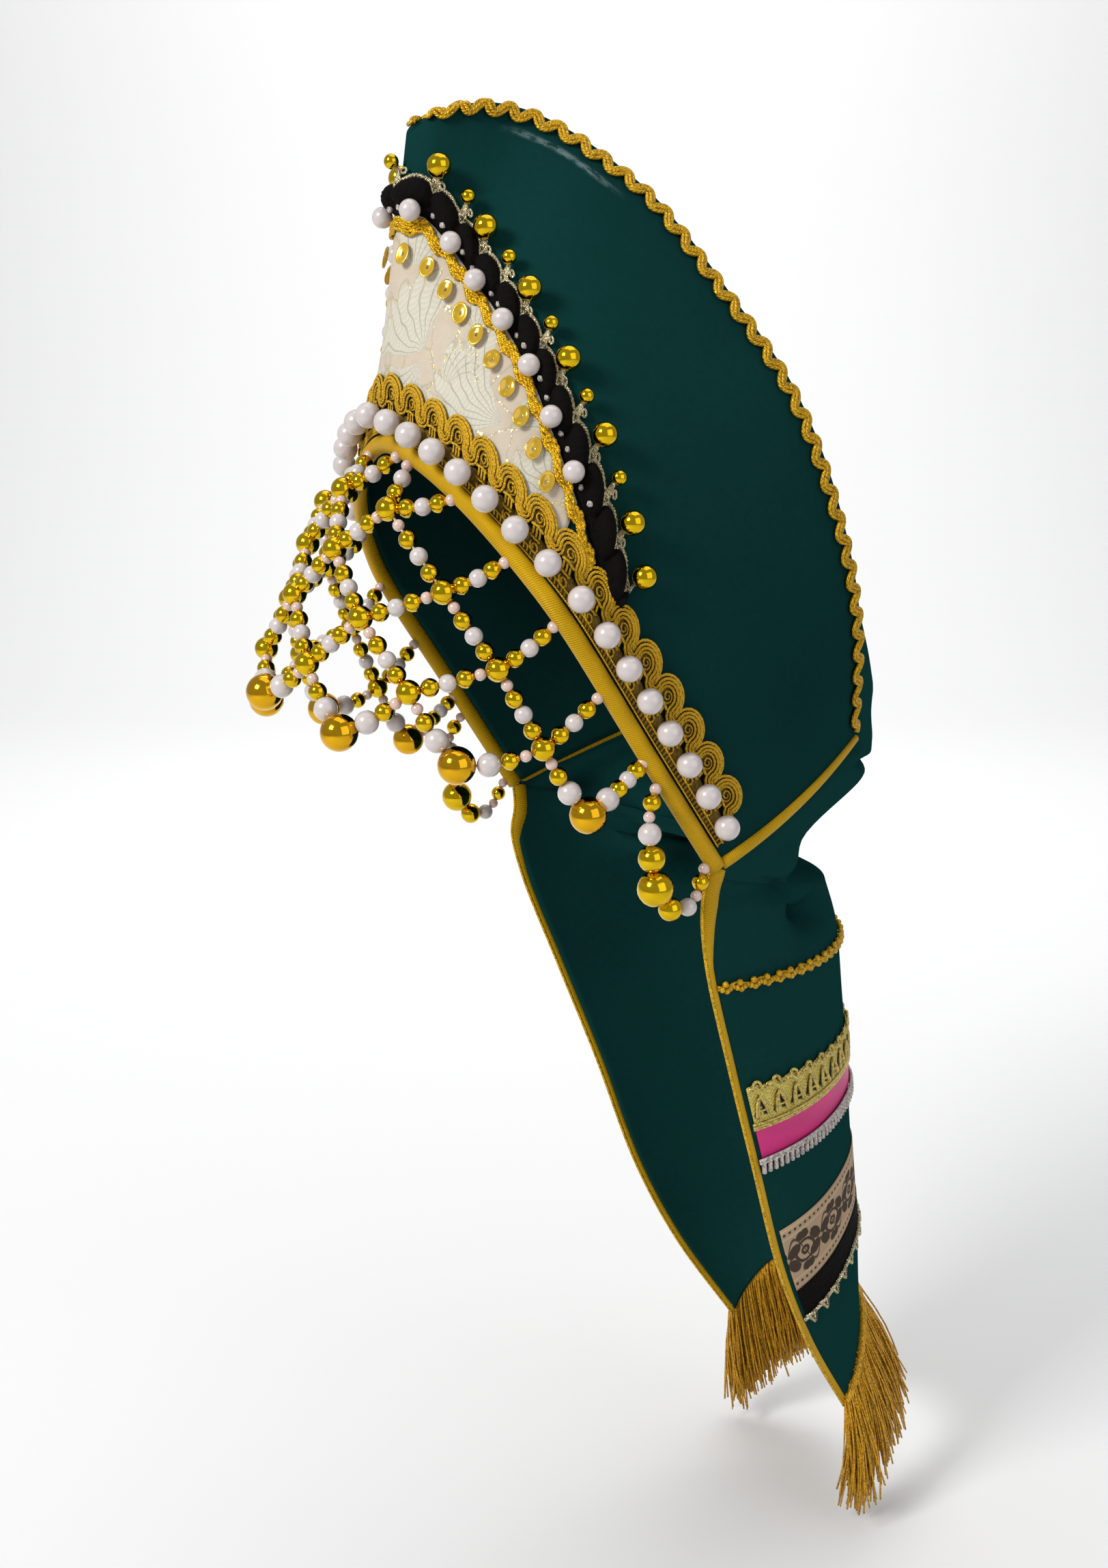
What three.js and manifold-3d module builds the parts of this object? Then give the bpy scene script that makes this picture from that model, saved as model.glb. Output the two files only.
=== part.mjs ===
// Kokoshnik: a tall padded headdress with a brocade front, gold and pearl trims, a bead net over the
// forehead, a soft back cloth and a striped tail with a fringe.
// Millimetres, +Z up. The face looks towards -Y and the wearer's left side is +X.
// The origin lies midway between the two ear corners.

import * as THREE from 'three';
import { mergeVertices } from 'three/addons/utils/BufferGeometryUtils.js';
import Module from 'manifold-3d';

const wasm = await Module();
wasm.setup();

// Clearance between neighbouring pieces, between trims that lie side by side on the crown,
// and of a flat trim above the cloth that it is sewn to
const GAP = 0.3;
const BAND_GAP = 0.8;
const TRIM_LIFT = 0.75;

// Face edge: two straight legs from the ear corners and an arch over the forehead, in a tilted plane.
// The arch is an ellipse drawn a little towards a point, and its front bends back and up out of the plane.
const EAR_HALF_SPAN = 77;
const TEMPLE_HALF_SPAN = 75;
const FACE_LEG = 100;
const FACE_ARCH_RISE = 68;
const FACE_TILT = THREE.MathUtils.degToRad(56.4);
const FACE_ARCH_POINT = 1.2;
const FACE_ARCH_BACK = 6;
const FACE_ARCH_UP = 2;
const FACE_ARCH_STEPS = 6;

// Crest edge of the left side, from the tip in front over the top and down to the back corner
const CREST_EDGE = [
  { side: 0, back: -77, height: 242 },
  { side: 8.5, back: -70.5, height: 247.5 },
  { side: 11, back: -55, height: 252 },
  { side: 12, back: -40, height: 251 },
  { side: 18, back: -27, height: 243 },
  { side: 26, back: -18, height: 232.5 },
  { side: 35, back: -4, height: 220.5 },
  { side: 49, back: 13.5, height: 196 },
  { side: 64, back: 32, height: 160 },
  { side: 70, back: 46, height: 121 },
  { side: 65.5, back: 62, height: 82 },
  { side: 52, back: 80.5, height: 34 },
];

// Shoulder of the left side, where each rib of the crown turns from the face edge towards the crest.
// share runs from 0 in the middle of the front to 1 at the ear.
const SHOULDER = [
  { share: 0, side: 0, back: -84, height: 192 },
  { share: 0.12, side: 22, back: -79, height: 191 },
  { share: 0.25, side: 45, back: -70.5, height: 188 },
  { share: 0.4, side: 67, back: -57, height: 165 },
  { share: 0.55, side: 77.5, back: -28, height: 128 },
  { share: 0.75, side: 79.5, back: 5, height: 80 },
  { share: 1, side: 75.5, back: 36, height: 15 },
];

// Crown wall and its bound edges
const CROWN_WALL = 2.6;
const CROWN_STEPS = 36;
const CROWN_ROWS = 6;
const FRONT_BINDING_RADIUS = 3.2;
const NAPE_BINDING_RADIUS = 2.3;
const TRIM_SIDES = 8;

// Gold gimp lace and its pearls, just above the face edge
const FOREHEAD_LACE_WALL = 1.6;
const FOREHEAD_LACE_BASE = 19;
const FOREHEAD_LACE_SCALLOP = 4.5;
const FOREHEAD_LACE_STEPS = 2;
const FOREHEAD_LACE_HOLE = 2.6;
const FOREHEAD_HOLE_HEIGHT = 16.5;
const FOREHEAD_PEARLS = 31;
const FOREHEAD_PEARL_RADIUS = 4.4;
const FOREHEAD_PEARL_HEIGHT = 9;
const FOREHEAD_PEARL_SEAT = 0.12;
const FOREHEAD_END = 0.967;

// Line of the black lace over the left side of the front. rise is a share of the rib from the face edge.
const LACE_LINE = [
  { share: 0, rise: 0.84 },
  { share: 0.05, rise: 0.79 },
  { share: 0.1, rise: 0.7 },
  { share: 0.17, rise: 0.6 },
  { share: 0.25, rise: 0.525 },
  { share: 0.33, rise: 0.46 },
  { share: 0.4, rise: 0.395 },
  { share: 0.47, rise: 0.315 },
  { share: 0.58, rise: 0.175 },
];
const BLACK_LACE_WALL = 1.2;
const BLACK_LACE_STEPS = 36;
const BLACK_LACE_END = 0.57;
const BLACK_LACE_INNER = -10;
const BLACK_LACE_OUTER = 9;
const LACE_PEARL = { radius: 3.6, pitch: 17.6, first: 8, count: 8, offset: -8 };
const LACE_BALL = { radius: 4, pitch: 27.6, first: 27.6, count: 6, offset: 8 };
const BEAD_SIDES = 10;
const BEAD_ROWS = 3;

// Wavy gold braid inside the black lace, and the brocade that it borders
const SEQUIN_BRAID_WALL = 1.4;
const SEQUIN_BRAID_INNER = -15.6;
const SEQUIN_BRAID_END = 0.47;
const BROCADE_WALL = 0.8;
const BROCADE_END = 0.43;
const BROCADE_STEPS = 18;
const BROCADE_ROWS = 4;

// Braid along the crest
const CREST_BRAID_WIDTH = 7;
const CREST_BRAID_WALL = 1.8;
const CREST_BRAID_LIFT = 0.8;
const CREST_BRAID_STEPS = 36;

// Back cloth: each row is an arch from the left edge to the right one, along the crest, then the nape.
// seam is its distance beyond the crest. bulgeBack and bulgeUp carry the middle of the arch off its ends.
const CLOTH_WALL = 1.5;
const CLOTH_STEPS = 14;
const CLOTH_ROWS = 15;
const CLOTH_CROWDING = 1.5;
const CREST_ROWS = [
  { share: 0.045, seam: 3.1, bulgeBack: 0.5, bulgeUp: 1.2 },
  { share: 0.16, seam: 3.1, bulgeBack: 2, bulgeUp: 3.2 },
  { share: 0.3, seam: 1.6, bulgeBack: 6, bulgeUp: 3 },
  { share: 0.45, seam: 1.1, bulgeBack: 11, bulgeUp: 4 },
  { share: 0.6, seam: 1, bulgeBack: 17, bulgeUp: 4 },
  { share: 0.75, seam: 1, bulgeBack: 24, bulgeUp: 4 },
  { share: 0.88, seam: 1.2, bulgeBack: 28, bulgeUp: 1 },
];
const NAPE_ROWS = [
  { side: 47.3, back: 82.9, height: 31, bulgeBack: 26, bulgeUp: -3 },
  { side: 60, back: 55.5, height: 18, bulgeBack: 45, bulgeUp: -6 },
  { side: 69, back: 24, height: 3.5, bulgeBack: 62, bulgeUp: -7 },
  { side: 72.8, back: 0.6, height: -9.4, bulgeBack: 69.5, bulgeUp: -7.6 },
];

// Tail: rows from the nape down, with the left edge and the middle of the back
const TAIL_ROWS = [
  { side: 73, back: 0.3, height: -10.1, middleBack: 70.4, middleHeight: -17.7 },
  { side: 74, back: -0.8, height: -20, middleBack: 90, middleHeight: -25 },
  { side: 72, back: 3, height: -39, middleBack: 97, middleHeight: -42.5 },
  { side: 66, back: 17, height: -79, middleBack: 103, middleHeight: -78.5 },
  { side: 60, back: 33, height: -123, middleBack: 107.5, middleHeight: -113 },
  { side: 55, back: 51, height: -175, middleBack: 112, middleHeight: -152.5 },
  { side: 50, back: 69.5, height: -213, middleBack: 115.5, middleHeight: -183 },
  { side: 42, back: 95, height: -253, middleBack: 116, middleHeight: -212 },
];
const TAIL_WALL = 2;
const TAIL_STEPS = 12;
const TAIL_LEVELS = 9;
const TAIL_BINDING_RADIUS = 1.9;
const TAIL_BINDING_GAP = 0.88;

// Trims across the tail, placed in millimetres down its side edge
const TAIL_TRIMS = [
  { name: 'tail_bobble_braid', top: 35, bottom: 39, wall: 1.6, look: 'goldBraid' },
  { name: 'tail_gold_lace', top: 83, bottom: 104, wall: 0.9, look: 'goldBraid' },
  { name: 'tail_pink_ribbon', top: 104.6, bottom: 119, wall: 0.7, look: 'pinkSatin' },
  { name: 'tail_stitch_trim', top: 119.6, bottom: 125.5, wall: 1.1, look: 'whiteCotton' },
  { name: 'tail_pattern_ribbon', top: 158, bottom: 188, wall: 0.8, look: 'beigeRibbon' },
  { name: 'tail_black_lace', top: 188.6, bottom: 206, wall: 0.9, look: 'blackLace' },
];

// Fringe below the tail, in locks that hang from one header
const FRINGE_LOCKS = 13;
const FRINGE_LENGTH = 55;
const FRINGE_GAP = 0.9;
const FRINGE_INSET = 0.015;
const FRINGE_NOTCH = 9;
const FRINGE_LEAN = 19;
const FRINGE_THICK = 5;
const FRINGE_THIN = 2.4;

// Bead net: junction beads of the left half, by name. The middle column lies at side 0.
const NET_JUNCTIONS = {
  brow: { side: 0, back: -103, height: 127, bead: 4.1 },
  brow_1: { side: 29, back: -98.7, height: 121.6, bead: 4.1 },
  upper_1: { side: 13, back: -111.5, height: 108.2, bead: 4.1 },
  upper_2: { side: 52.5, back: -90, height: 96.3, bead: 4.1 },
  mid: { side: 0, back: -121.3, height: 92.5, bead: 4.1 },
  mid_1: { side: 34.3, back: -111.3, height: 87.3, bead: 4.1 },
  mid_2: { side: 64.5, back: -76.6, height: 72.1, bead: 4.1 },
  lower_1: { side: 20.8, back: -125.1, height: 71.8, bead: 4.1 },
  lower_2: { side: 51, back: -102, height: 64.7, bead: 4.1 },
  lower_3: { side: 71, back: -63.7, height: 46.3, bead: 4.1 },
  drop: { side: 0, back: -133.1, height: 60, bead: 6.3 },
  drop_1: { side: 37, back: -120.6, height: 51, bead: 6.3 },
  drop_2: { side: 61, back: -90, height: 41.5, bead: 6.3 },
  drop_3: { side: 75, back: -49.3, height: 23.5, bead: 6.3 },
};
const NET_STRINGS = [
  ['brow', 'upper_1'],
  ['brow_1', 'upper_1'],
  ['brow_1', 'upper_2'],
  ['upper_1', 'mid'],
  ['upper_1', 'mid_1'],
  ['upper_2', 'mid_1'],
  ['upper_2', 'mid_2'],
  ['mid', 'lower_1'],
  ['mid_1', 'lower_1'],
  ['mid_1', 'lower_2'],
  ['mid_2', 'lower_2'],
  ['mid_2', 'lower_3'],
  ['lower_1', 'drop'],
  ['lower_1', 'drop_1'],
  ['lower_2', 'drop_1'],
  ['lower_2', 'drop_2'],
  ['lower_3', 'drop_2'],
  ['lower_3', 'drop_3'],
];
// Where strings are tied to the bound face edge, by share of the edge from its middle to the ear
const NET_TIES = [
  { from: 'brow', share: 0.07 },
  { from: 'brow_1', share: 0.09 },
  { from: 'brow_1', share: 0.235 },
  { from: 'upper_2', share: 0.37 },
  { from: 'mid_2', share: 0.49 },
  { from: 'lower_3', share: 0.625 },
  { from: 'drop_3', share: 0.765 },
];
const NET_STRING_RADIUS = 2.5;
const NET_STRING_SIDES = 6;
const NET_SAG = 4;
const NET_SAG_STEPS = 2;

// Loop of beads beside each ear, from the face edge down and back to the ear corner
const EAR_LOOP = [
  { side: 79.8, back: -29, height: 21 },
  { side: 79.8, back: -28, height: 11 },
  { side: 79.6, back: -27, height: 2 },
  { side: 79.2, back: -24.5, height: -7 },
  { side: 79.2, back: -17.5, height: -12.5 },
  { side: 79.2, back: -11, height: -10.5 },
];
const EAR_LOOP_TOP_SHARE = 0.8;
const EAR_LOOP_END_SHARE = 0.972;
const EAR_LOOP_STEPS = 9;
const EAR_LOOP_BEADS = [
  { at: 2, bead: 4.8 },
  { at: 3, bead: 6.3 },
  { at: 4, bead: 4.2 },
];

const MATERIALS = {
  greenCloth: new THREE.MeshStandardMaterial({ color: 0x0c4a40, roughness: 0.9, metalness: 0 }),
  brocade: new THREE.MeshStandardMaterial({ color: 0xded6c6, roughness: 0.6, metalness: 0 }),
  goldGimp: new THREE.MeshStandardMaterial({ color: 0xb9862a, roughness: 0.5, metalness: 0.3 }),
  goldBraid: new THREE.MeshStandardMaterial({ color: 0xc99a2e, roughness: 0.4, metalness: 0.6 }),
  goldSatin: new THREE.MeshStandardMaterial({ color: 0xb08a14, roughness: 0.4, metalness: 0 }),
  goldBead: new THREE.MeshStandardMaterial({ color: 0xd8a818, roughness: 0.15, metalness: 1 }),
  pearl: new THREE.MeshStandardMaterial({ color: 0xe8dfe0, roughness: 0.2, metalness: 0 }),
  blackLace: new THREE.MeshStandardMaterial({ color: 0x14100f, roughness: 0.9, metalness: 0 }),
  pinkSatin: new THREE.MeshStandardMaterial({ color: 0xc83a8c, roughness: 0.35, metalness: 0 }),
  whiteCotton: new THREE.MeshStandardMaterial({ color: 0xd8d2c8, roughness: 0.8, metalness: 0 }),
  beigeRibbon: new THREE.MeshStandardMaterial({ color: 0x9c8872, roughness: 0.8, metalness: 0 }),
  goldFringe: new THREE.MeshStandardMaterial({ color: 0xb8862a, roughness: 0.5, metalness: 0.4 }),
};

const { lerp, clamp } = THREE.MathUtils;

const kokoshnik = new THREE.Group();
kokoshnik.name = 'kokoshnik';

// Solids

// Only positions are kept, shared corners are merged, and the faces are turned to point outwards.
function closed(geometry) {
  const bare = geometry.clone();
  bare.deleteAttribute('normal');
  bare.deleteAttribute('uv');
  const merged = mergeVertices(bare, 1e-4);
  const index = merged.index.array;
  const corners = [new THREE.Vector3(), new THREE.Vector3(), new THREE.Vector3()];
  let volume = 0;
  for (let i = 0; i < index.length; i += 3) {
    corners.forEach((corner, k) => corner.fromBufferAttribute(merged.attributes.position, index[i + k]));
    volume += corners[0].dot(corners[1].clone().cross(corners[2]));
  }
  if (volume < 0) {
    for (let i = 0; i < index.length; i += 3) {
      [index[i], index[i + 1]] = [index[i + 1], index[i]];
    }
  }
  return merged;
}

function toSolid(geometry) {
  const shape = closed(geometry);
  const vertProperties = new Float32Array(shape.attributes.position.array);
  const triVerts = new Uint32Array(shape.index.array);
  return new wasm.Manifold(new wasm.Mesh({ numProp: 3, vertProperties, triVerts }));
}

function toGeometry(solid) {
  const mesh = solid.getMesh();
  const geometry = new THREE.BufferGeometry();
  geometry.setAttribute('position', new THREE.BufferAttribute(new Float32Array(mesh.vertProperties), 3));
  geometry.setIndex(new THREE.BufferAttribute(new Uint32Array(mesh.triVerts), 1));
  return geometry;
}

function fuse(geometries) {
  return toGeometry(geometries.map(toSolid).reduce((whole, part) => whole.add(part)));
}

function cut(geometry, tools) {
  return toGeometry(tools.map(toSolid).reduce((whole, tool) => whole.subtract(tool), toSolid(geometry)));
}

function addPiece(name, geometry, material) {
  const shape = closed(geometry);
  shape.computeVertexNormals();
  const piece = new THREE.Mesh(shape, material);
  piece.name = name;
  kokoshnik.add(piece);
}

// A box whose corners are carried onto a bent wall: place takes shares across, up and through the wall.
function bentBox(steps, rows, place) {
  const box = new THREE.BoxGeometry(1, 1, 1, steps, rows, 1);
  const corners = box.attributes.position;
  for (let i = 0; i < corners.count; i++) {
    const at = place(corners.getX(i) + 0.5, corners.getY(i) + 0.5, corners.getZ(i) + 0.5);
    corners.setXYZ(i, at.x, at.y, at.z);
  }
  return box;
}

function tube(path, radius, steps, sides = TRIM_SIDES) {
  const outline = [];
  for (let k = 0; k < sides; k++) {
    const turn = (2 * Math.PI * k) / sides;
    outline.push(new THREE.Vector2(radius * Math.cos(turn), radius * Math.sin(turn)));
  }
  const section = new THREE.Shape(outline);
  return new THREE.ExtrudeGeometry(section, { steps, extrudePath: path, bevelEnabled: false });
}

function bead(centre, radius) {
  return new THREE.SphereGeometry(radius, BEAD_SIDES, BEAD_ROWS).translate(centre.x, centre.y, centre.z);
}

function toPoint(row) {
  return new THREE.Vector3(row.side, row.back, row.height);
}

function mirrored(point) {
  return new THREE.Vector3(-point.x, point.y, point.z);
}

// A left half that starts on the middle plane becomes one smooth curve from the right end to the left end.
function wholeEdge(half) {
  const right = half.slice(1).reverse().map(mirrored);
  const curve = new THREE.CatmullRomCurve3([...right, ...half]);
  curve.arcLengthDivisions = 1200;
  return curve;
}

// Value between rows of a table, by a column of rising numbers
function between(rows, key, at, read) {
  let k = 1;
  while (k < rows.length - 1 && rows[k][key] < at) {
    k += 1;
  }
  const span = rows[k][key] - rows[k - 1][key];
  return lerp(read(rows[k - 1]), read(rows[k]), clamp((at - rows[k - 1][key]) / span, 0, 1));
}

// Crown surface

function onFacePlane(side, along) {
  return new THREE.Vector3(side, -along * Math.cos(FACE_TILT), along * Math.sin(FACE_TILT));
}

function faceEdgeHalf() {
  const half = [];
  for (let step = 0; step <= FACE_ARCH_STEPS; step++) {
    const turn = (Math.PI / 2) * (1 - step / FACE_ARCH_STEPS);
    const rise = Math.sin(turn) ** FACE_ARCH_POINT;
    const side = step === 0 ? 0 : TEMPLE_HALF_SPAN * Math.cos(turn) ** FACE_ARCH_POINT;
    const point = onFacePlane(side, FACE_LEG + FACE_ARCH_RISE * rise);
    point.y += FACE_ARCH_BACK * rise * rise;
    point.z += FACE_ARCH_UP * rise * rise;
    half.push(point);
  }
  half.push(onFacePlane((TEMPLE_HALF_SPAN + EAR_HALF_SPAN - 1) / 2, FACE_LEG / 2));
  half.push(onFacePlane(EAR_HALF_SPAN, 0));
  return half;
}

const faceEdge = wholeEdge(faceEdgeHalf());
const crestEdge = wholeEdge(CREST_EDGE.map(toPoint));
const shoulderEdge = wholeEdge(SHOULDER.map(toPoint));

function shoulderAt(share) {
  const rows = SHOULDER.map((row, order) => ({ share: row.share, order }));
  const order = between(rows, 'share', Math.abs(share), (row) => row.order);
  const last = SHOULDER.length - 1;
  return shoulderEdge.getPoint((last + Math.sign(share) * order) / (2 * last));
}

// Rib of the crown, from the face edge past the shoulder to the crest edge
function rib(share) {
  const at = clamp((share + 1) / 2, 0, 1);
  const foot = faceEdge.getPointAt(at);
  const top = crestEdge.getPointAt(at);
  return new THREE.QuadraticBezierCurve3(foot, shoulderAt(share), top);
}

const ribLengths = new Map();

function ribLength(share) {
  if (!ribLengths.has(share)) {
    ribLengths.set(share, rib(share).getLength());
  }
  return ribLengths.get(share);
}

function crownPoint(share, rise) {
  return rib(share).getPoint(rise);
}

function crownNormal(share, rise) {
  const small = 0.004;
  const left = crownPoint(Math.min(share + small, 1), rise);
  const right = crownPoint(Math.max(share - small, -1), rise);
  const upper = crownPoint(share, Math.min(rise + small, 1));
  const lower = crownPoint(share, Math.max(rise - small, 0));
  return left.sub(right).cross(upper.sub(lower)).normalize();
}

function onCrown(share, rise, lift) {
  return crownPoint(share, rise).addScaledVector(crownNormal(share, rise), lift);
}

function onCrownMillimetres(share, millimetres, lift) {
  return onCrown(share, millimetres / ribLength(share), lift);
}

// Rows of facets crowd towards the middle, where the tip is narrow.
function crowded(across) {
  const share = 2 * across - 1;
  return Math.sign(share) * Math.abs(share) ** 1.25;
}

// Rise at which a rib, which may leave the face edge at a slant, is clear of the binding on that edge
function clearRise(share, clear) {
  const along = faceEdge.getTangentAt(clamp((share + 1) / 2, 0, 1));
  const ribCurve = rib(share);
  const leave = ribCurve.v1.clone().sub(ribCurve.v0);
  leave.addScaledVector(along, -leave.dot(along));
  return clear / (2 * leave.length());
}

const CROWN_START = FRONT_BINDING_RADIUS + GAP;
const CROWN_END = 1 - (NAPE_BINDING_RADIUS + GAP) / (faceEdge.getLength() / 2);

addPiece(
  'crown',
  bentBox(CROWN_STEPS, CROWN_ROWS, (across, up, through) => {
    const share = crowded(across) * CROWN_END;
    return onCrown(share, lerp(clearRise(share, CROWN_START), 1, up), (through - 1) * CROWN_WALL);
  }),
  MATERIALS.greenCloth,
);

// Bound edges

addPiece('front_binding', tube(faceEdge, FRONT_BINDING_RADIUS, CROWN_STEPS), MATERIALS.goldSatin);

function addNapeBinding(name, share) {
  const start = (FRONT_BINDING_RADIUS + NAPE_BINDING_RADIUS) / ribLength(share);
  const points = [0, 0.2, 0.4, 0.6, 0.8, 1].map((part) => crownPoint(share, lerp(start, 1, part)));
  addPiece(name, tube(new THREE.CatmullRomCurve3(points), NAPE_BINDING_RADIUS, 7), MATERIALS.goldSatin);
}

addNapeBinding('nape_binding_left', 1);
addNapeBinding('nape_binding_right', -1);

function even(across) {
  return 2 * across - 1;
}

// A flat trim on the crown, between two distances from the face edge
function crownBand({ steps, end, wall, lower, upper, rows = 1, spread = crowded }) {
  return bentBox(steps, rows, (across, up, through) => {
    const share = spread(across) * end;
    return onCrownMillimetres(share, lerp(lower(share), upper(share), up), TRIM_LIFT + through * wall);
  });
}

// Forehead lace and pearls

const PEARL_STEP = (2 * FOREHEAD_END) / FOREHEAD_PEARLS;

function foreheadReach(share) {
  return FOREHEAD_LACE_BASE + FOREHEAD_LACE_SCALLOP * Math.abs(Math.sin((Math.PI * share) / PEARL_STEP));
}

function foreheadHole(share) {
  const height = 4 * FOREHEAD_LACE_WALL;
  const hole = new THREE.CylinderGeometry(FOREHEAD_LACE_HOLE, FOREHEAD_LACE_HOLE, height, 4);
  const rise = FOREHEAD_HOLE_HEIGHT / ribLength(share);
  const out = crownNormal(share, rise);
  const along = new THREE.Quaternion().setFromUnitVectors(THREE.Object3D.DEFAULT_UP, out);
  const centre = onCrown(share, rise, TRIM_LIFT + FOREHEAD_LACE_WALL / 2);
  return hole.applyQuaternion(along).translate(centre.x, centre.y, centre.z);
}

const foreheadBand = crownBand({
  steps: FOREHEAD_PEARLS * FOREHEAD_LACE_STEPS,
  end: FOREHEAD_END,
  wall: FOREHEAD_LACE_WALL,
  lower: (share) => clearRise(share, CROWN_START + GAP) * ribLength(share),
  upper: foreheadReach,
  spread: even,
});
const foreheadHoles = [];
for (let k = 1; k < FOREHEAD_PEARLS; k++) {
  foreheadHoles.push(foreheadHole(-FOREHEAD_END + k * PEARL_STEP));
}
addPiece('forehead_lace', cut(foreheadBand, foreheadHoles), MATERIALS.goldGimp);

for (let k = 0; k < FOREHEAD_PEARLS; k++) {
  const share = FOREHEAD_END - (k + 0.5) * PEARL_STEP;
  const lift = TRIM_LIFT + FOREHEAD_LACE_WALL + FOREHEAD_PEARL_SEAT + FOREHEAD_PEARL_RADIUS;
  const centre = onCrownMillimetres(share, FOREHEAD_PEARL_HEIGHT, lift);
  const order = String(k + 1).padStart(2, '0');
  addPiece(`forehead_pearl_${order}`, bead(centre, FOREHEAD_PEARL_RADIUS), MATERIALS.pearl);
}

// Black lace with its pearls and gold balls

const FOREHEAD_TOP = FOREHEAD_LACE_BASE + FOREHEAD_LACE_SCALLOP + 2 * GAP;

function laceLine(share) {
  return between(LACE_LINE, 'share', Math.abs(share), (row) => row.rise) * ribLength(share);
}

function laceInner(share) {
  return Math.max(laceLine(share) + BLACK_LACE_INNER, FOREHEAD_TOP);
}

function laceOuter(share) {
  return laceLine(share) + BLACK_LACE_OUTER;
}

// Shares at even steps along a line beside the lace, counted from the middle of the front
function evenShares({ pitch, first, count, offset }) {
  const samples = 240;
  const shares = [];
  let last = onCrownMillimetres(0, laceLine(0) + offset, 0);
  let walked = 0;
  for (let k = 1; k <= samples && shares.length < count; k++) {
    const share = (BLACK_LACE_END * k) / samples;
    const point = onCrownMillimetres(share, laceLine(share) + offset, 0);
    walked += point.distanceTo(last);
    last = point;
    if (walked >= first + shares.length * pitch) {
      shares.push(share);
    }
  }
  return shares;
}

function laceBeads(kind, lift) {
  const sides = evenShares(kind).flatMap((share) => [share, -share]);
  return sides.map((share) => {
    const centre = onCrownMillimetres(share, laceLine(share) + kind.offset, lift);
    return bead(centre, kind.radius);
  });
}

addPiece(
  'black_lace',
  fuse([
    crownBand({
      steps: BLACK_LACE_STEPS,
      end: BLACK_LACE_END,
      wall: BLACK_LACE_WALL,
      lower: laceInner,
      upper: laceOuter,
    }),
    ...laceBeads(LACE_PEARL, TRIM_LIFT + BLACK_LACE_WALL + 0.8 * LACE_PEARL.radius),
    ...laceBeads(LACE_BALL, TRIM_LIFT + BLACK_LACE_WALL + 0.8 * LACE_BALL.radius),
  ]),
  MATERIALS.blackLace,
);

// Wavy braid and brocade panel

addPiece(
  'sequin_braid',
  crownBand({
    steps: BLACK_LACE_STEPS,
    end: SEQUIN_BRAID_END,
    wall: SEQUIN_BRAID_WALL,
    lower: (share) => Math.max(laceLine(share) + SEQUIN_BRAID_INNER, FOREHEAD_TOP),
    upper: (share) => laceLine(share) + BLACK_LACE_INNER - BAND_GAP,
  }),
  MATERIALS.goldBraid,
);
addPiece(
  'brocade_panel',
  crownBand({
    steps: BROCADE_STEPS,
    end: BROCADE_END,
    wall: BROCADE_WALL,
    lower: () => FOREHEAD_TOP,
    upper: (share) => laceLine(share) + SEQUIN_BRAID_INNER - BAND_GAP,
    rows: BROCADE_ROWS,
  }),
  MATERIALS.brocade,
);

// Crest braid

addPiece(
  'crest_braid',
  bentBox(CREST_BRAID_STEPS, 1, (across, up, through) => {
    const share = crowded(across) * CROWN_END;
    const rise = lerp(1 - CREST_BRAID_WIDTH / ribLength(share), 1, up);
    return onCrown(share, rise, CREST_BRAID_LIFT + through * CREST_BRAID_WALL);
  }),
  MATERIALS.goldBraid,
);

// Cloth arches: edge and bulge curves through the rows, and an arch between them at each level

function archSurface(edges, bulges) {
  const edgeCurve = new THREE.CatmullRomCurve3(edges);
  const bulgeCurve = new THREE.CatmullRomCurve3(bulges);
  return (across, level) => {
    const edge = edgeCurve.getPoint(level);
    const turn = Math.PI * (1 - across);
    const point = new THREE.Vector3(edge.x * -Math.cos(turn), edge.y, edge.z);
    return point.addScaledVector(bulgeCurve.getPoint(level), Math.sin(turn));
  };
}

function lifted(surface, across, level, lift) {
  const small = 0.003;
  const ahead = surface(Math.min(across + small, 1), level);
  const behind = surface(Math.max(across - small, 0), level);
  const lower = surface(across, Math.min(level + small, 1));
  const upper = surface(across, Math.max(level - small, 0));
  const out = ahead.sub(behind).cross(lower.sub(upper)).normalize();
  return surface(across, level).addScaledVector(out, -lift);
}

function seamEdge(row) {
  const ribCurve = rib(row.share);
  return ribCurve.getPoint(1).addScaledVector(ribCurve.getTangent(1), row.seam);
}

const clothSurface = archSurface(
  [...CREST_ROWS.map(seamEdge), ...NAPE_ROWS.map(toPoint)],
  [...CREST_ROWS, ...NAPE_ROWS].map((row) => new THREE.Vector3(0, row.bulgeBack, row.bulgeUp)),
);
addPiece(
  'back_cloth',
  bentBox(CLOTH_STEPS, CLOTH_ROWS, (across, up, through) =>
    lifted(clothSurface, across, (1 - up) ** CLOTH_CROWDING, (through - 1) * CLOTH_WALL)),
  MATERIALS.greenCloth,
);

// Tail, its bound sides and its trims

const tailSurface = archSurface(
  TAIL_ROWS.map(toPoint),
  TAIL_ROWS.map((row) => new THREE.Vector3(0, row.middleBack - row.back, row.middleHeight - row.height)),
);
const tailEdge = new THREE.CatmullRomCurve3(TAIL_ROWS.map(toPoint));
const TAIL_LENGTH = tailEdge.getLength();

function tailLevel(millimetres) {
  return tailEdge.getUtoTmapping(millimetres / TAIL_LENGTH);
}

addPiece(
  'tail',
  bentBox(TAIL_STEPS, TAIL_LEVELS, (across, up, through) =>
    lifted(tailSurface, across, 1 - up, (through - 1) * TAIL_WALL)),
  MATERIALS.greenCloth,
);

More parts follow.
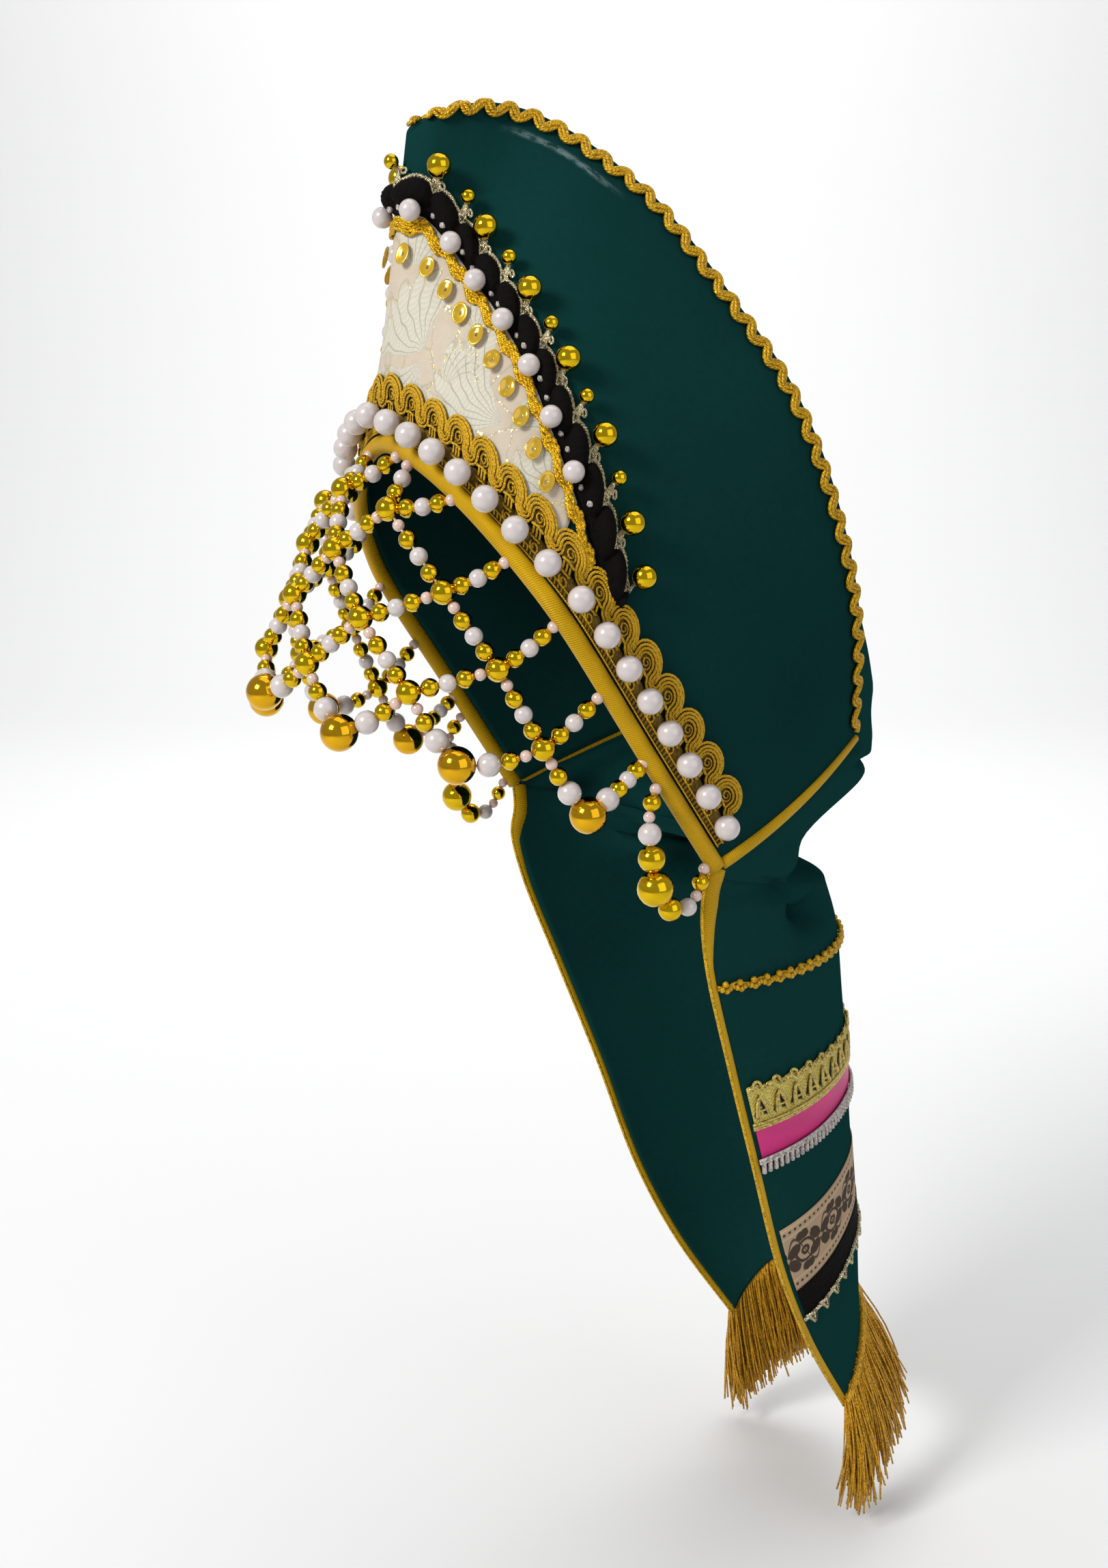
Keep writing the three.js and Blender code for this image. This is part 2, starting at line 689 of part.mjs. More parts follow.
function addTailBinding(name, turnOver) {
  const points = [];
  for (let step = 0; step <= TAIL_LEVELS; step++) {
    const level = step / TAIL_LEVELS;
    const edge = lifted(tailSurface, 0, level, -TAIL_WALL / 2);
    const out = edge.clone().sub(lifted(tailSurface, 0.01, level, -TAIL_WALL / 2)).normalize();
    edge.addScaledVector(out, TAIL_BINDING_RADIUS + TAIL_BINDING_GAP);
    points.push(turnOver ? mirrored(edge) : edge);
  }
  const path = new THREE.CatmullRomCurve3(points);
  addPiece(name, tube(path, TAIL_BINDING_RADIUS, 2 * TAIL_LEVELS), MATERIALS.goldBraid);
}

addTailBinding('tail_binding_left', false);
addTailBinding('tail_binding_right', true);

for (const trim of TAIL_TRIMS) {
  const band = bentBox(TAIL_STEPS, 1, (across, up, through) => {
    const level = tailLevel(lerp(trim.bottom, trim.top, up));
    return lifted(tailSurface, across, level, TRIM_LIFT + through * trim.wall);
  });
  addPiece(trim.name, band, MATERIALS[trim.look]);
}

// Fringe

addPiece(
  'fringe',
  bentBox(2 * FRINGE_LOCKS, 2, (across, up, through) => {
    const lock = Math.sin(Math.PI * FRINGE_LOCKS * across) ** 2;
    const turn = Math.sin(Math.PI * across);
    const drop = FRINGE_GAP + (1 - up) * (FRINGE_LENGTH - FRINGE_NOTCH * (1 - lock));
    const thick = lerp(TAIL_WALL, lerp(FRINGE_THIN, FRINGE_THICK, lock), 1 - up);
    const inset = lerp(FRINGE_INSET, 1 - FRINGE_INSET, across);
    const point = lifted(tailSurface, inset, 1, (through - 0.5) * thick - TAIL_WALL / 2);
    const lean = (drop / FRINGE_LENGTH) * FRINGE_LEAN * (0.2 + 0.8 * turn);
    return point.add(new THREE.Vector3(0, lean, -drop));
  }),
  MATERIALS.goldFringe,
);

// Bead net

// A string ends flat against the bound face edge, clear of it all round.
function tieEnd(from, share) {
  const at = (1 + share) / 2;
  const seat = faceEdge.getPointAt(at);
  const axis = faceEdge.getTangentAt(at);
  const along = from.clone().sub(seat).normalize();
  const slant = Math.abs(along.dot(axis));
  const clear = FRONT_BINDING_RADIUS + GAP + NET_STRING_RADIUS * slant;
  return seat.addScaledVector(along, clear / Math.sqrt(1 - slant * slant));
}

function straightString(from, to) {
  return tube(new THREE.LineCurve3(from, to), NET_STRING_RADIUS, 1, NET_STRING_SIDES);
}

function saggingString(from, to) {
  const middle = from.clone().lerp(to, 0.5);
  middle.z -= NET_SAG;
  const path = new THREE.QuadraticBezierCurve3(from, middle, to);
  return tube(path, NET_STRING_RADIUS, NET_SAG_STEPS, NET_STRING_SIDES);
}

function netHalf(turnOver) {
  const place = (name) => {
    const point = toPoint(NET_JUNCTIONS[name]);
    return turnOver ? mirrored(point) : point;
  };
  const inMiddle = (name) => NET_JUNCTIONS[name].side === 0;
  // The right half stops just short of the middle beads, which belong to the left half.
  const reach = (name, other) => {
    const point = place(name);
    if (turnOver && inMiddle(name)) {
      const short = NET_JUNCTIONS[name].bead + GAP;
      point.addScaledVector(place(other).sub(point).normalize(), short);
    }
    return point;
  };
  const parts = [];
  for (const [name, junction] of Object.entries(NET_JUNCTIONS)) {
    if (!(turnOver && inMiddle(name))) {
      parts.push(bead(place(name), junction.bead));
    }
  }
  for (const [upper, lower] of NET_STRINGS) {
    const hang = lower.startsWith('drop') ? saggingString : straightString;
    parts.push(hang(reach(upper, lower), reach(lower, upper)));
  }
  for (const tie of NET_TIES) {
    if (!(turnOver && inMiddle(tie.from))) {
      const end = tieEnd(toPoint(NET_JUNCTIONS[tie.from]), tie.share);
      parts.push(straightString(place(tie.from), turnOver ? mirrored(end) : end));
    }
  }
  if (!turnOver) {
    const brow = toPoint(NET_JUNCTIONS.brow);
    parts.push(straightString(brow, mirrored(tieEnd(brow, NET_TIES[0].share))));
  }
  return fuse(parts);
}

addPiece('bead_net_left', netHalf(false), MATERIALS.goldBead);
addPiece('bead_net_right', netHalf(true), MATERIALS.goldBead);

function earLoop(turnOver) {
  const hanging = EAR_LOOP.map(toPoint);
  const top = tieEnd(hanging[0], EAR_LOOP_TOP_SHARE);
  const end = tieEnd(hanging[hanging.length - 1], EAR_LOOP_END_SHARE);
  const turned = [top, ...hanging, end].map((point) => (turnOver ? mirrored(point) : point));
  const path = new THREE.CatmullRomCurve3(turned);
  const string = tube(path, NET_STRING_RADIUS, EAR_LOOP_STEPS, NET_STRING_SIDES);
  const beads = EAR_LOOP_BEADS.map((row) => bead(turned[row.at + 1], row.bead));
  return fuse([string, ...beads]);
}

addPiece('ear_loop_left', earLoop(false), MATERIALS.goldBead);
addPiece('ear_loop_right', earLoop(true), MATERIALS.goldBead);

export default kokoshnik;
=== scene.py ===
"""Kokoshnik headdress: cloth, lace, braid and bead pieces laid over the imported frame."""

import bisect
import math
import random

import bmesh
import bpy
from mathutils import Matrix, Vector


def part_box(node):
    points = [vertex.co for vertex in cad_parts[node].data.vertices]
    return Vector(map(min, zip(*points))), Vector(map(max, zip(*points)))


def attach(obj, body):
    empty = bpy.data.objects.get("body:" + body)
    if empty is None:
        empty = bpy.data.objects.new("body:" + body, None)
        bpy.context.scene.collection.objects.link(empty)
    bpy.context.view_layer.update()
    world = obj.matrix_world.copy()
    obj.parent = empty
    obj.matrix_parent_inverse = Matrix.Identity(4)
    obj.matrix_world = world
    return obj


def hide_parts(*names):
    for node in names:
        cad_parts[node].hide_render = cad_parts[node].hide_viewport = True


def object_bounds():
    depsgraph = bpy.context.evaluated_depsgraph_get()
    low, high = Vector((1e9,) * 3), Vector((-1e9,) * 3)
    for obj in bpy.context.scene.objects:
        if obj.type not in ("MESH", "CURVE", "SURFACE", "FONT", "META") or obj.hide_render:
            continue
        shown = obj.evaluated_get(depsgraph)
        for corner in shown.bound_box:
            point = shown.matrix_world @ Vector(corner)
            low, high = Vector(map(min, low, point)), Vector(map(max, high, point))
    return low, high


bl_info = {
    "name": "Kokoshnik headdress",
    "version": (1, 0, 0),
    "blender": (4, 5, 0),
    "location": "3D View > Sidebar > Kokoshnik",
    "description": "Builds a festive headdress of cloth, lace, braid, pearls and gold beads",
    "category": "Object",
}

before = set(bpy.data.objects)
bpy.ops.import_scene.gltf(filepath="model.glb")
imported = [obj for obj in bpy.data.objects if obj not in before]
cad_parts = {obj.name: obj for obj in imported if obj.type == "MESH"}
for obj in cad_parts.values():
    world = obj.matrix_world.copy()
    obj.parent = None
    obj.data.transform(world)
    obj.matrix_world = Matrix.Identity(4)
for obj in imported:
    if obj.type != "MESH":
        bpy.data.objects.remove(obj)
CAD_BOX = [list(corner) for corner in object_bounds()]
MM = 0.001
UP = Vector((0, 0, 1))

# Face edge, in millimetres
EAR_HALF_SPAN = 77.0
TEMPLE_HALF_SPAN = 75.0
FACE_LEG = 100.0
FACE_ARCH_RISE = 68.0
FACE_ARCH_POINT = 1.2
FACE_ARCH_BACK = 6.0
FACE_ARCH_UP = 2.0
FACE_ARCH_STEPS = 6
FACE_TILT = math.radians(56.4)

# Crest edge of the left side, from the tip over the top to the back corner: side, back, height
CREST_EDGE = [
    (0, -77, 242),
    (8.5, -70.5, 247.5),
    (11, -55, 252),
    (12, -40, 251),
    (18, -26.5, 244.8),
    (26, -16, 235.8),
    (35, -2.2, 222.6),
    (49, 14.3, 196.5),
    (64, 36, 160.5),
    (70, 52, 121),
    (65.5, 66.6, 82),
    (52, 77.6, 34),
]

# Shoulder of the left side: share of the face edge, side, back, height
SHOULDER = [
    (0, 0, -84, 192),
    (0.12, 22, -79, 191),
    (0.25, 45, -70.5, 188),
    (0.4, 67, -57, 165),
    (0.55, 77.5, -28, 128),
    (0.75, 79.5, 5, 80),
    (1, 75.5, 36, 15),
]

# Line of the black lace on the left side: share of the face edge, rise as a share of the rib
LACE_LINE = [
    (0, 0.84),
    (0.05, 0.79),
    (0.1, 0.7),
    (0.17, 0.6),
    (0.25, 0.525),
    (0.33, 0.46),
    (0.4, 0.395),
    (0.47, 0.315),
    (0.58, 0.175),
]
LACE_END = 0.57

# Back cloth rows: share of the crest, seam beyond it, bulge of the middle to the back and up
CLOTH_CREST_ROWS = [
    (0.045, -0.6, 0.5, 0.2),
    (0.16, -0.6, 1, 0.6),
    (0.3, -0.4, 5, 1.2),
    (0.45, 0, 10, 3),
    (0.6, 0, 16, 4),
    (0.75, 0, 21, 4),
    (0.88, 0, 28, 1),
    (0.965, -0.2, 26, -1),
]

# Back cloth rows along the nape: side, back, height of the left edge, bulge to the back and up
CLOTH_NAPE_ROWS = [
    (51.6, 78, 33, 27, -5),
    (57.1, 67.7, 28.8, 36.4, -8.4),
    (62.9, 54.5, 23, 43, -11),
    (72.7, 26.4, 10.7, 37, -13.2),
    (76.5, 1.6, 0.2, 61.4, -18.2),
    (75.0, 1.5, -4.2, 60.5, -18.0),
]

# Flatness of the back cloth beside the crest, and the levels over which it turns round
CLOTH_FLATNESS = 2.2
CLOTH_ROUND_FROM = 0.41
CLOTH_ROUND_OVER = 0.1

# Width of the black lace, as a share of its full width, by distance from the middle of the front.
# It counts from the line of the wavy braid on its inner side.
LACE_NARROWING = [(0, 0.79), (70, 0.79), (97, 0.87), (125, 1), (400, 1)]
BRAID_OFFSET = -13.2

# Leaf fans of the brocade, the same on both sides: distance from the middle, height, heading in degrees,
# reach, half of its spread and number of blades
BROCADE_LEAVES = [
    (20, 171, 124, 27, 0.95, 7),
    (61, 148, 150, 37, 0.62, 8),
    (19, 168, 238, 18, 0.9, 6),
    (11, 198, 84, 19, 0.85, 6),
    (41, 176, 70, 20, 0.85, 7),
    (33, 160, 60, 15, 0.8, 6),
    (84, 127, 140, 20, 0.75, 6),
    (66, 147, 40, 15, 0.8, 5),
]
# Ends of the brocade, as a share of the half face edge
BROCADE_END = 0.45

# Tail rows: side, back, height of the left edge, back and height of the middle
TAIL_ROWS = [
    (75.8, 1, -1.2, 62.5, -14.5),
    (73, 0.3, -10.1, 66, -17.2),
    (74, -0.8, -20, 90, -25),
    (72, 3, -39, 97, -42.5),
    (66, 17, -79, 103, -78.5),
    (60, 33, -123, 107.5, -113),
    (55, 51, -175, 112, -152.5),
    (50, 69.5, -213, 115.5, -183),
    (42, 95, -253, 116, -212),
]

# Bead net of the left half: side, back, height, bead radius
NET_JUNCTIONS = {
    "brow": (0, -103, 127, 4.1),
    "brow_1": (29, -98.7, 121.6, 4.1),
    "upper_1": (13, -111.5, 108.2, 4.1),
    "upper_2": (52.5, -90, 96.3, 4.1),
    "mid": (0, -121.3, 92.5, 4.1),
    "mid_1": (34.3, -111.3, 87.3, 4.1),
    "mid_2": (64.5, -76.6, 72.1, 4.1),
    "lower_1": (20.8, -125.1, 71.8, 4.1),
    "lower_2": (51, -102, 64.7, 4.1),
    "lower_3": (71, -63.7, 46.3, 4.1),
    "drop": (0, -133.1, 60, 6.3),
    "drop_1": (37, -120.6, 51, 6.3),
    "drop_2": (61, -90, 41.5, 6.3),
    "drop_3": (75, -49.3, 23.5, 6.3),
}
NET_STRINGS = [
    ("brow", "upper_1"),
    ("brow_1", "upper_1"),
    ("brow_1", "upper_2"),
    ("upper_1", "mid"),
    ("upper_1", "mid_1"),
    ("upper_2", "mid_1"),
    ("upper_2", "mid_2"),
    ("mid", "lower_1"),
    ("mid_1", "lower_1"),
    ("mid_1", "lower_2"),
    ("mid_2", "lower_2"),
    ("mid_2", "lower_3"),
    ("lower_1", "drop"),
    ("lower_1", "drop_1"),
    ("lower_2", "drop_1"),
    ("lower_2", "drop_2"),
    ("lower_3", "drop_2"),
    ("lower_3", "drop_3"),
]
NET_TIES = [
    ("brow", 0.07),
    ("brow_1", 0.09),
    ("brow_1", 0.235),
    ("upper_2", 0.37),
    ("mid_2", 0.49),
    ("lower_3", 0.625),
    ("drop_3", 0.765),
]
NET_SAG = 4.0
# Beads along each kind of string, from its upper end: kind, radius
LINK_BEADS = [("tiny", 2.0), ("gold", 3.1), ("pearl", 3.0), ("gold", 3.1)]
DROP_BEADS = [("tiny", 2.0), ("gold", 3.1), ("pearl", 4.0)]
TIE_BEADS = [("gold", 3.1), ("pearl", 3.0), ("gold", 3.1), ("tiny", 2.0)]
END_TIE_BEADS = [("pearl", 4.0), *TIE_BEADS]
# Ties longer than the first take all their beads, and ties shorter than the second just two
LONG_TIE, SHORT_TIE = 22, 14

# Bead loop beside the ear: side, back, height, and the beads on it: kind, radius
EAR_LOOP = [
    (79.8, -29, 21),
    (79.8, -28, 11),
    (79.6, -27, 2),
    (79.2, -24.5, -7),
    (79.2, -17.5, -12.5),
    (79.2, -11, -10.5),
]
EAR_LOOP_ENDS = (0.8, 0.972)
EAR_LOOP_BEADS = [
    ("tiny", 2.0),
    ("gold", 3.1),
    ("tiny", 2.0),
    ("pearl", 4.0),
    ("gold", 4.8),
    ("gold", 6.3),
    ("gold", 4.2),
    ("pearl", 3.2),
    ("tiny", 2.0),
    ("gold", 3.0),
    ("tiny", 2.0),
]


def walk(points):
    """Distance walked at each of a row of points."""
    far = [0.0]
    for before, after in zip(points, points[1:]):
        far.append(far[-1] + (after - before).length)
    return far


def step_at(walked, goal):
    """Step of a table of walked distances in which a distance falls, and the part of that step."""
    goal = min(max(goal, 0), walked[-1])
    high = min(max(bisect.bisect_left(walked, goal), 1), len(walked) - 1)
    return high - 1, (goal - walked[high - 1]) / (walked[high] - walked[high - 1])


class Spline:
    """Smooth curve through points, read by its own parameter or by share of its length."""

    SAMPLES = 1600

    def __init__(self, points):
        self.points = [Vector(point) for point in points]
        self.table = [self.at(k / self.SAMPLES) for k in range(self.SAMPLES + 1)]
        self.walked = walk(self.table)
        self.length = self.walked[-1]

    def at(self, parameter):
        """Point on the centripetal curve; the parameter runs from 0 to 1 over equal spans."""
        last = len(self.points) - 1
        place = min(max(parameter, 0.0), 1.0) * last
        span = min(int(place), last - 1)
        part = place - span
        start, end = self.points[span], self.points[span + 1]
        before = self.points[span - 1] if span > 0 else 2 * start - end
        after = self.points[span + 2] if span + 2 <= last else 2 * end - start
        spans = ((before, start), (start, end), (end, after))
        first, second, third = (max((b - a).length ** 0.5, 1e-4) for a, b in spans)
        leave = (start - before) / first - (end - before) / (first + second) + (end - start) / second
        reach = (end - start) / second - (after - start) / (second + third) + (after - end) / third
        leave *= second
        reach *= second
        bend = 3 * (end - start) - 2 * leave - reach
        turn = 2 * (start - end) + leave + reach
        return start + leave * part + bend * part**2 + turn * part**3

    def parameter(self, share):
        """Parameter at a share of the length."""
        low, part = step_at(self.walked, share * self.length)
        return (low + part) / self.SAMPLES

    def point(self, share):
        """Point at a share of the length."""
        place = self.parameter(share) * self.SAMPLES
        low = min(int(place), self.SAMPLES - 1)
        return self.table[low].lerp(self.table[low + 1], place - low)

    def tangent(self, share, small=1e-3):
        """Direction of travel at a share of the length."""
        return (self.point(share + small) - self.point(share - small)).normalized()


def mirrored(point):
    """The same point on the other side of the middle plane."""
    return Vector((-point[0], point[1], point[2]))


def whole_edge(half):
    """One curve from the right end to the left end, from a left half that starts in the middle."""
    return Spline([mirrored(point) for point in half[:0:-1]] + list(half))


def lerp(low, high, part):
    """Value between two others."""
    return low + (high - low) * part


def between(rows, at, column):
    """Value of a table's column between its rows, by the rising numbers in its first column."""
    for low, high in zip(rows, rows[1:]):
        if at <= high[0]:
            return lerp(low[column], high[column], max(at - low[0], 0) / (high[0] - low[0]))
    return rows[-1][column]


class Surface:
    """Surface whose point() takes two shares. The first runs from LOW to 1 and the second from 0 to 1."""

    LOW = 0
    SMALL = 0.003
    OUTWARD = -1

    def normal(self, first, second):
        """Outward direction."""
        small = self.SMALL
        across = self.point(min(first + small, 1), second) - self.point(max(first - small, self.LOW), second)
        along = self.point(first, min(second + small, 1)) - self.point(first, max(second - small, 0))
        return across.cross(along).normalized() * self.OUTWARD

    def lifted(self, first, second, lift):
        """Point raised off the surface."""
        return self.point(first, second) + self.normal(first, second) * lift


class Crown(Surface):
    """Surface of the crown.

    share runs from -1 at the right ear to 1 at the left, and rise from 0 at the face edge to 1 at the crest.
    """

    LOW = -1
    SMALL = 0.004
    OUTWARD = 1

    def __init__(self):
        half = []
        for step in range(FACE_ARCH_STEPS + 1):
            turn = math.pi / 2 * (1 - step / FACE_ARCH_STEPS)
            rise = math.sin(turn) ** FACE_ARCH_POINT
            side = TEMPLE_HALF_SPAN * max(math.cos(turn), 0) ** FACE_ARCH_POINT if step else 0
            point = self.on_face_plane(side, FACE_LEG + FACE_ARCH_RISE * rise)
            half.append(point + Vector((0, FACE_ARCH_BACK, FACE_ARCH_UP)) * rise**2)
        half.append(self.on_face_plane((TEMPLE_HALF_SPAN + EAR_HALF_SPAN - 1) / 2, FACE_LEG / 2))
        half.append(self.on_face_plane(EAR_HALF_SPAN, 0))
        self.face = whole_edge(half)
        self.crest = whole_edge(CREST_EDGE)
        self.shoulder = whole_edge([row[1:] for row in SHOULDER])
        self.half_face = self.face.length / 2
        self.half_crest = self.crest.length / 2
        self.ribs = {}
        self.lengths = {}

    @staticmethod
    def on_face_plane(side, along):
        """Point in the tilted plane of the face edge."""
        return Vector((side, -along * math.cos(FACE_TILT), along * math.sin(FACE_TILT)))

    def rib(self, share):
        """Ends and shoulder of the rib at a share."""
        key = round(share, 6)
        if key not in self.ribs:
            rows = [(row[0], order) for order, row in enumerate(SHOULDER)]
            order = between(rows, abs(share), 1)
            last = len(SHOULDER) - 1
            turn = self.shoulder.at((last + math.copysign(order, share)) / (2 * last))
            along = (share + 1) / 2
            self.ribs[key] = (self.face.point(along), turn, self.crest.point(along))
        return self.ribs[key]

    def point(self, share, rise):
        """Point on the surface."""
        low, turn, high = self.rib(share)
        return low * (1 - rise) ** 2 + turn * (2 * rise * (1 - rise)) + high * rise**2

    def length(self, share):
        """Length of the rib at a share, in millimetres."""
        key = round(share, 4)
        if key not in self.lengths:
            self.lengths[key] = walk([self.point(key, step / 12) for step in range(13)])[-1]
        return self.lengths[key]

    def above_edge(self, share, up, lift):
        """Point at a distance up the rib from the face edge, raised off the surface."""
        return self.lifted(share, up / self.length(share), lift)

    def clear_of_edge(self, share, clear):
        """Distance up the rib at which it is clear of the binding on the face edge."""
        along = self.face.tangent((share + 1) / 2)
        low, turn, _ = self.rib(share)
        leave = turn - low
        leave = leave - along * leave.dot(along)
        return clear / (2 * leave.length) * self.length(share)


class Lace:
    """Line of the black lace over the front, read by distance from the middle."""

    SAMPLES = 400

    def __init__(self, crown):
        self.crown = crown
        self.shares = [LACE_END * k / self.SAMPLES for k in range(self.SAMPLES + 1)]
        self.walked = walk([crown.above_edge(share, self.line(share), 0) for share in self.shares])
        self.length = self.walked[-1]

    def line(self, share):
        """Distance of the lace's middle from the face edge."""
        return between(LACE_LINE, abs(share), 1) * self.crown.length(share)

    def share(self, distance):
        """Share of the face edge at a distance along the lace, negative on the right."""
        low, part = step_at(self.walked, abs(distance))
        return math.copysign(lerp(self.shares[low], self.shares[low + 1], part), distance)

    def at(self, distance, offset, lift):
        """Point beside the lace's line, by millimetres along it and up the rib from it."""
        share = self.share(distance)
        outer = max(offset - BRAID_OFFSET, 0) * (1 - between(LACE_NARROWING, abs(distance), 1))
        return self.crown.above_edge(share, self.line(share) + offset - outer, lift)


class Arch(Surface):
    """Sheet of arches from a left edge to its mirror image, with a bulge in the middle of each."""

    SAMPLES = 72

    def __init__(self, edges, bulges):
        self.edge = Spline(edges)
        self.bulge = Spline(bulges)
        self.walks = {}

    def point(self, across, level):
        """Point at a share across, from the left edge, and a level from top to bottom."""
        edge = self.edge.at(level)
        turn = math.pi * across
        return Vector((edge.x * math.cos(turn), edge.y, edge.z)) + self.bulge.at(level) * math.sin(turn)

    def level(self, down):
        """Level at a distance down the left edge."""
        return self.edge.parameter(down / self.edge.length)

    def walked(self, level):
        """Distances from the left edge, across one level."""
        key = round(level, 4)
        if key not in self.walks:
            self.walks[key] = walk([self.point(k / self.SAMPLES, key) for k in range(self.SAMPLES + 1)])
        return self.walks[key]

    def width(self, level):
        """Width of the cloth at a level."""
        return self.walked(level)[-1]

    def across(self, level, distance):
        """Share across at a distance from the left edge."""
        low, part = step_at(self.walked(level), distance)
        return (low + part) / self.SAMPLES


class BackCloth(Arch):
    """Back cloth: flat beside the crest seams, rounder towards the nape."""

    def point(self, across, level):
        """Point at a share across, from the left edge, and a level from top to bottom."""
        edge = self.edge.at(level)
        turn = math.pi * across
        rounded = min(max((level - CLOTH_ROUND_FROM) / CLOTH_ROUND_OVER, 0), 1)
        power = lerp(CLOTH_FLATNESS, 1, rounded)
        bulge = self.bulge.at(level) * math.sin(turn) ** power
        return Vector((edge.x * math.cos(turn), edge.y, edge.z)) + bulge


CROWN = Crown()
LACE = Lace(CROWN)


def seam_edge(share, seam):
    """Left edge of the back cloth, just beyond the crest."""
    _, turn, high = CROWN.rib(share)
    return high + (high - turn).normalized() * seam


CLOTH = BackCloth(
    [seam_edge(row[0], row[1]) for row in CLOTH_CREST_ROWS] + [row[:3] for row in CLOTH_NAPE_ROWS],
    [(0, row[2], row[3]) for row in CLOTH_CREST_ROWS] + [(0, row[3], row[4]) for row in CLOTH_NAPE_ROWS],
)
TAIL = Arch(
    [row[:3] for row in TAIL_ROWS],
    [(0, row[3] - row[1], row[4] - row[2]) for row in TAIL_ROWS],
)


def length(name, description, default, low, high):
    """A size that the user may change."""
    return bpy.props.FloatProperty(name=name, description=description, default=default, min=low, max=high)


def number(name, description, default, low, high):
    """A number of pieces that the user may change."""
    return bpy.props.IntProperty(name=name, description=description, default=default, min=low, max=high)


class HeaddressSizes(bpy.types.PropertyGroup):
    """Sizes of the pieces, in millimetres."""

    crown_wall: length("Crown wall", "Thickness of the padded crown", 2.6, 1, 6)
    cloth_wall: length("Cloth", "Thickness of the back cloth and the tail", 1.5, 0.5, 3)
    binding_radius: length("Face binding", "Radius of the binding on the face edge", 3.2, 1, 6)
    nape_radius: length("Nape binding", "Radius of the binding on the nape edges", 2.3, 1, 5)
    pearl_radius: length("Forehead pearl", "Radius of the pearls above the face edge", 4.4, 2, 8)
    pearl_count: number("Forehead pearls", "Number of pearls above the face edge", 31, 3, 60)
    gimp_cord: length("Gimp cord", "Radius of a cord in the forehead lace", 0.56, 0.2, 2)
    lace_pearl: length("Lace pearl", "Radius of the pearls on the black lace", 3.6, 1, 6)
    lace_ball: length("Gold ball", "Radius of the large gold balls on the black lace", 4.1, 1, 8)
    small_ball: length("Small gold ball", "Radius of the small balls between them", 2.5, 1, 5)
    sequin: length("Sequin", "Radius of a sequin", 3.4, 1, 6)
    braid_pitch: length("Crest braid wave", "Length of one wave of the crest braid", 9.2, 4, 20)
    fringe_length: length("Fringe", "Length of the fringe below the tail", 56, 10, 120)
    fringe_threads: number("Fringe threads", "Number of threads in the fringe", 1700, 50, 3000)


def colour(name, description, default):
    """A colour that the user may change."""
    return bpy.props.FloatVectorProperty(
        name=name, description=description, default=default, subtype="COLOR", size=3, min=0, max=1
    )


class HeaddressColours(bpy.types.PropertyGroup):
    """Colours of the pieces."""

    green: colour("Green cloth", "Crown, back cloth and tail", (0.0042, 0.031, 0.029))
    brocade: colour("Brocade", "Ground of the front panel", (0.50, 0.425, 0.33))
    gimp: colour("Gimp", "Cords of the forehead lace", (0.70, 0.40, 0.020))
    satin: colour("Satin binding", "Bindings of the face and nape edges", (0.52, 0.295, 0.004))
    gold: colour("Gold", "Balls and small beads", (0.72, 0.47, 0.010))
    deep_gold: colour("Deep gold", "Large beads of the net", (0.74, 0.40, 0.012))
    pearl: colour("Pearl", "Pearls", (0.56, 0.50, 0.485))
    blush: colour("Blush pearl", "Smallest pearls of the net", (0.62, 0.45, 0.39))
    black: colour("Black lace", "Lace on the front and the tail", (0.0035, 0.0028, 0.0025))
    picot: colour("Picot", "Thread edge of the black lace", (0.74, 0.64, 0.42))
    braid: colour("Braid", "Wavy braids", (0.78, 0.44, 0.010))
    sequin: colour("Sequin", "Sequins", (0.74, 0.46, 0.012))
    pink: colour("Pink ribbon", "Satin ribbon on the tail", (0.60, 0.028, 0.185))
    white: colour("White trim", "Stitched trim on the tail", (0.56, 0.50, 0.47))
    beige: colour("Beige ribbon", "Patterned ribbon on the tail", (0.40, 0.285, 0.18))
    fringe: colour("Fringe", "Fringe below the tail", (0.66, 0.34, 0.010))
    floor: colour("Floor", "Floor and backdrop", (0.80, 0.80, 0.795))


def sizes():
    """Sizes that the user set."""
    return bpy.context.scene.headdress_sizes


def colours():
    """Colours that the user set."""
    return bpy.context.scene.headdress_colours


class Wire:
    """A socket that takes part in plain arithmetic, each operation adding a Math node."""

    def __init__(self, paint, socket):
        self.paint = paint
        self.socket = socket

    def math(self, operation, *others):
        """Result of a Math node on this value and others."""
        values = {k: value for k, value in enumerate((self, *others))}
        return self.paint.node("ShaderNodeMath", {"operation": operation}, values)

    def __add__(self, other):
        return self.math("ADD", other)

    def __sub__(self, other):
        return self.math("SUBTRACT", other)

    def __rsub__(self, other):
        return self.paint.node("ShaderNodeMath", {"operation": "SUBTRACT"}, {0: other, 1: self})

    def __mul__(self, other):
        return self.math("MULTIPLY", other)

    def __truediv__(self, other):
        return self.math("DIVIDE", other)

    def __pow__(self, other):
        return self.math("POWER", other)

    def __abs__(self):
        return self.math("ABSOLUTE")

    __radd__ = __add__
    __rmul__ = __mul__

    def sine(self):
        """Sine of the value."""
        return self.math("SINE")

    def most(self, other):
        """Larger of two values."""
        return self.math("MAXIMUM", other)

    def least(self, other):
        """Smaller of two values."""
        return self.math("MINIMUM", other)

    def wrapped(self, period):
        """Value repeated over a period, from 0 up to it."""
        return self.math("FLOORED_MODULO", period)

    def within(self, low, high):
        """Smooth step from 0 at low to 1 at high."""
        return self.paint.node(
            "ShaderNodeMapRange",
            {"interpolation_type": "SMOOTHSTEP"},
            {"Value": self, "From Min": low, "From Max": high},
        )


